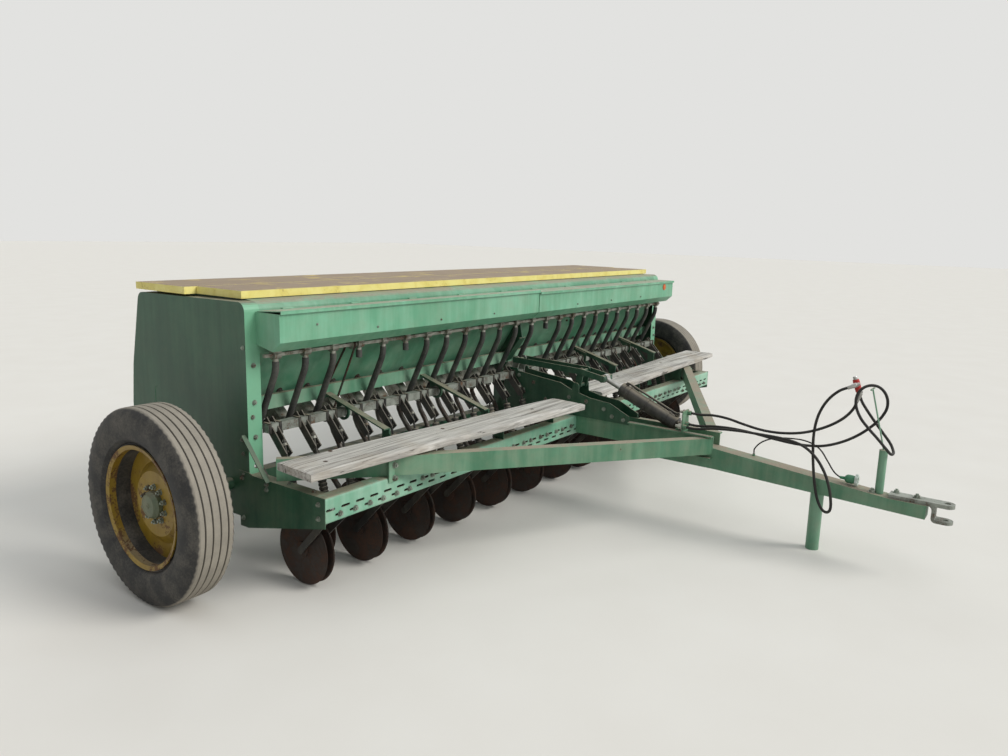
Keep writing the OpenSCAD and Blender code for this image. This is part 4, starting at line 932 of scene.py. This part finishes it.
keep(solid("armClamps", armClamps), "rockshaft", "blackPaint", (), 35)


def reflector(form):
    turned(form, spot(1942, 0.2, 1251), front, [(0, 0.026), (0.004, 0.026), (0.006, 0.0245), (0.0045, 0.0225),
                                                (0.0075, 0.012), (0.0082, 0.002)], 40)


keep(solid("reflector", reflector), "root", "amberPlastic", (), 30)


hinge = {"first": 180, "pitch": 440, "count": 5, "y": 164, "z": 1301}


def lidHinges(form):  # knuckles at the back of the small-seed lids
    y, z = hinge["y"], hinge["z"]
    for x in (side * (hinge["first"] + k * hinge["pitch"]) for side in (-1, 1) for k in range(hinge["count"])):
        piped(form, [spot(x - 32, y, z), spot(x + 32, y, z)], 0.0048)
        slabbed(form, (x - 26, y, z - 4.8), (x + 26, y + 6, z - 2.6), 0.0006)


keep(solid("lidHinges", lidHinges), "root", "boxGreen", (), 35)


def hubRings(form, side):  # the hub cap's raised rim and its small middle
    centre = spot(side * wheel["x"], wheel["y"], wheel["z"])
    turned(form, centre, (side, 0, 0), [(0.0455, 0.0485), (0.0478, 0.0475), (0.0478, 0.0435), (0.0462, 0.042),
                                        (0.0462, 0.011), (0.0495, 0.0095), (0.0495, 0.0045), (0.0475, 0.0035)], 40)


for side, body in ((-1, "wheel_left"), (1, "wheel_right")):
    keep(solid("hubRing." + body, lambda form: hubRings(form, side)), body, "hubGreen", (), 35)

nailPlaces = [(-1947, -173), (-2120, -295), (-1995, -185), (-630, -391), (-1330, -300), (700, -250), (1500, -215),
              (2150, -200)]


def nailHeads(form):  # dark carriage bolt heads sunk in the planks
    for x, y in nailPlaces:
        turned(form, spot(x, y, plankSizes["top"] - 0.6), up,
               [(0, 0.011), (0.0006, 0.0105), (0.0012, 0.006), (0.0013, 0.001)], 16)


keep(solid("nailHeads", nailHeads), "root", "chainSteel", (), 35)
print("small parts set")


def makeStage():
    floor = bpy.data.meshes.new("floor")
    floor.from_pydata([(-60, -60, 0), (60, -60, 0), (60, 60, 0), (-60, 60, 0)], [], [(0, 1, 2, 3)])
    ground = bpy.data.objects.new("floor", floor)
    bpy.context.collection.objects.link(ground)
    paint = Paint("floorPaint")
    grain = paint.noise(2.2, 4, 0.5)
    plain = paint.add("ShaderNodeBsdfDiffuse", None, {0: paint.mix(grain, rgb(214, 210, 202), rgb(220, 217, 210))})
    paint.add("ShaderNodeOutputMaterial", None, {"Surface": plain})
    floor.materials.append(paint.material)
    world = bpy.context.scene.world or bpy.data.worlds.new("world")
    bpy.context.scene.world = world
    world.use_nodes = True
    air = Tree(world.node_tree)
    way = air.add("ShaderNodeTexCoord").out("Generated")
    toFront = air.add("ShaderNodeVectorMath", {"operation": "DOT_PRODUCT"}, {0: way, 1: (0.55, -0.75, 0.36)})
    strength = 0.3 + air.step(toFront.out("Value"), -0.5, 0.9) * 0.32  # more light from the front right
    sky = air.add("ShaderNodeBackground", None, {"Color": (0.9, 0.95, 1.0, 1.0), "Strength": strength})
    room = air.add("ShaderNodeBackground", None, {"Color": rgb(226, 226, 224), "Strength": 1.0})
    path = air.add("ShaderNodeLightPath")
    seen = path.out("Is Camera Ray").most(path.out("Is Glossy Ray"))
    air.add("ShaderNodeOutputWorld", None, {0: air.add("ShaderNodeMixShader", None, {0: seen, 1: sky, 2: room})})


makeStage()
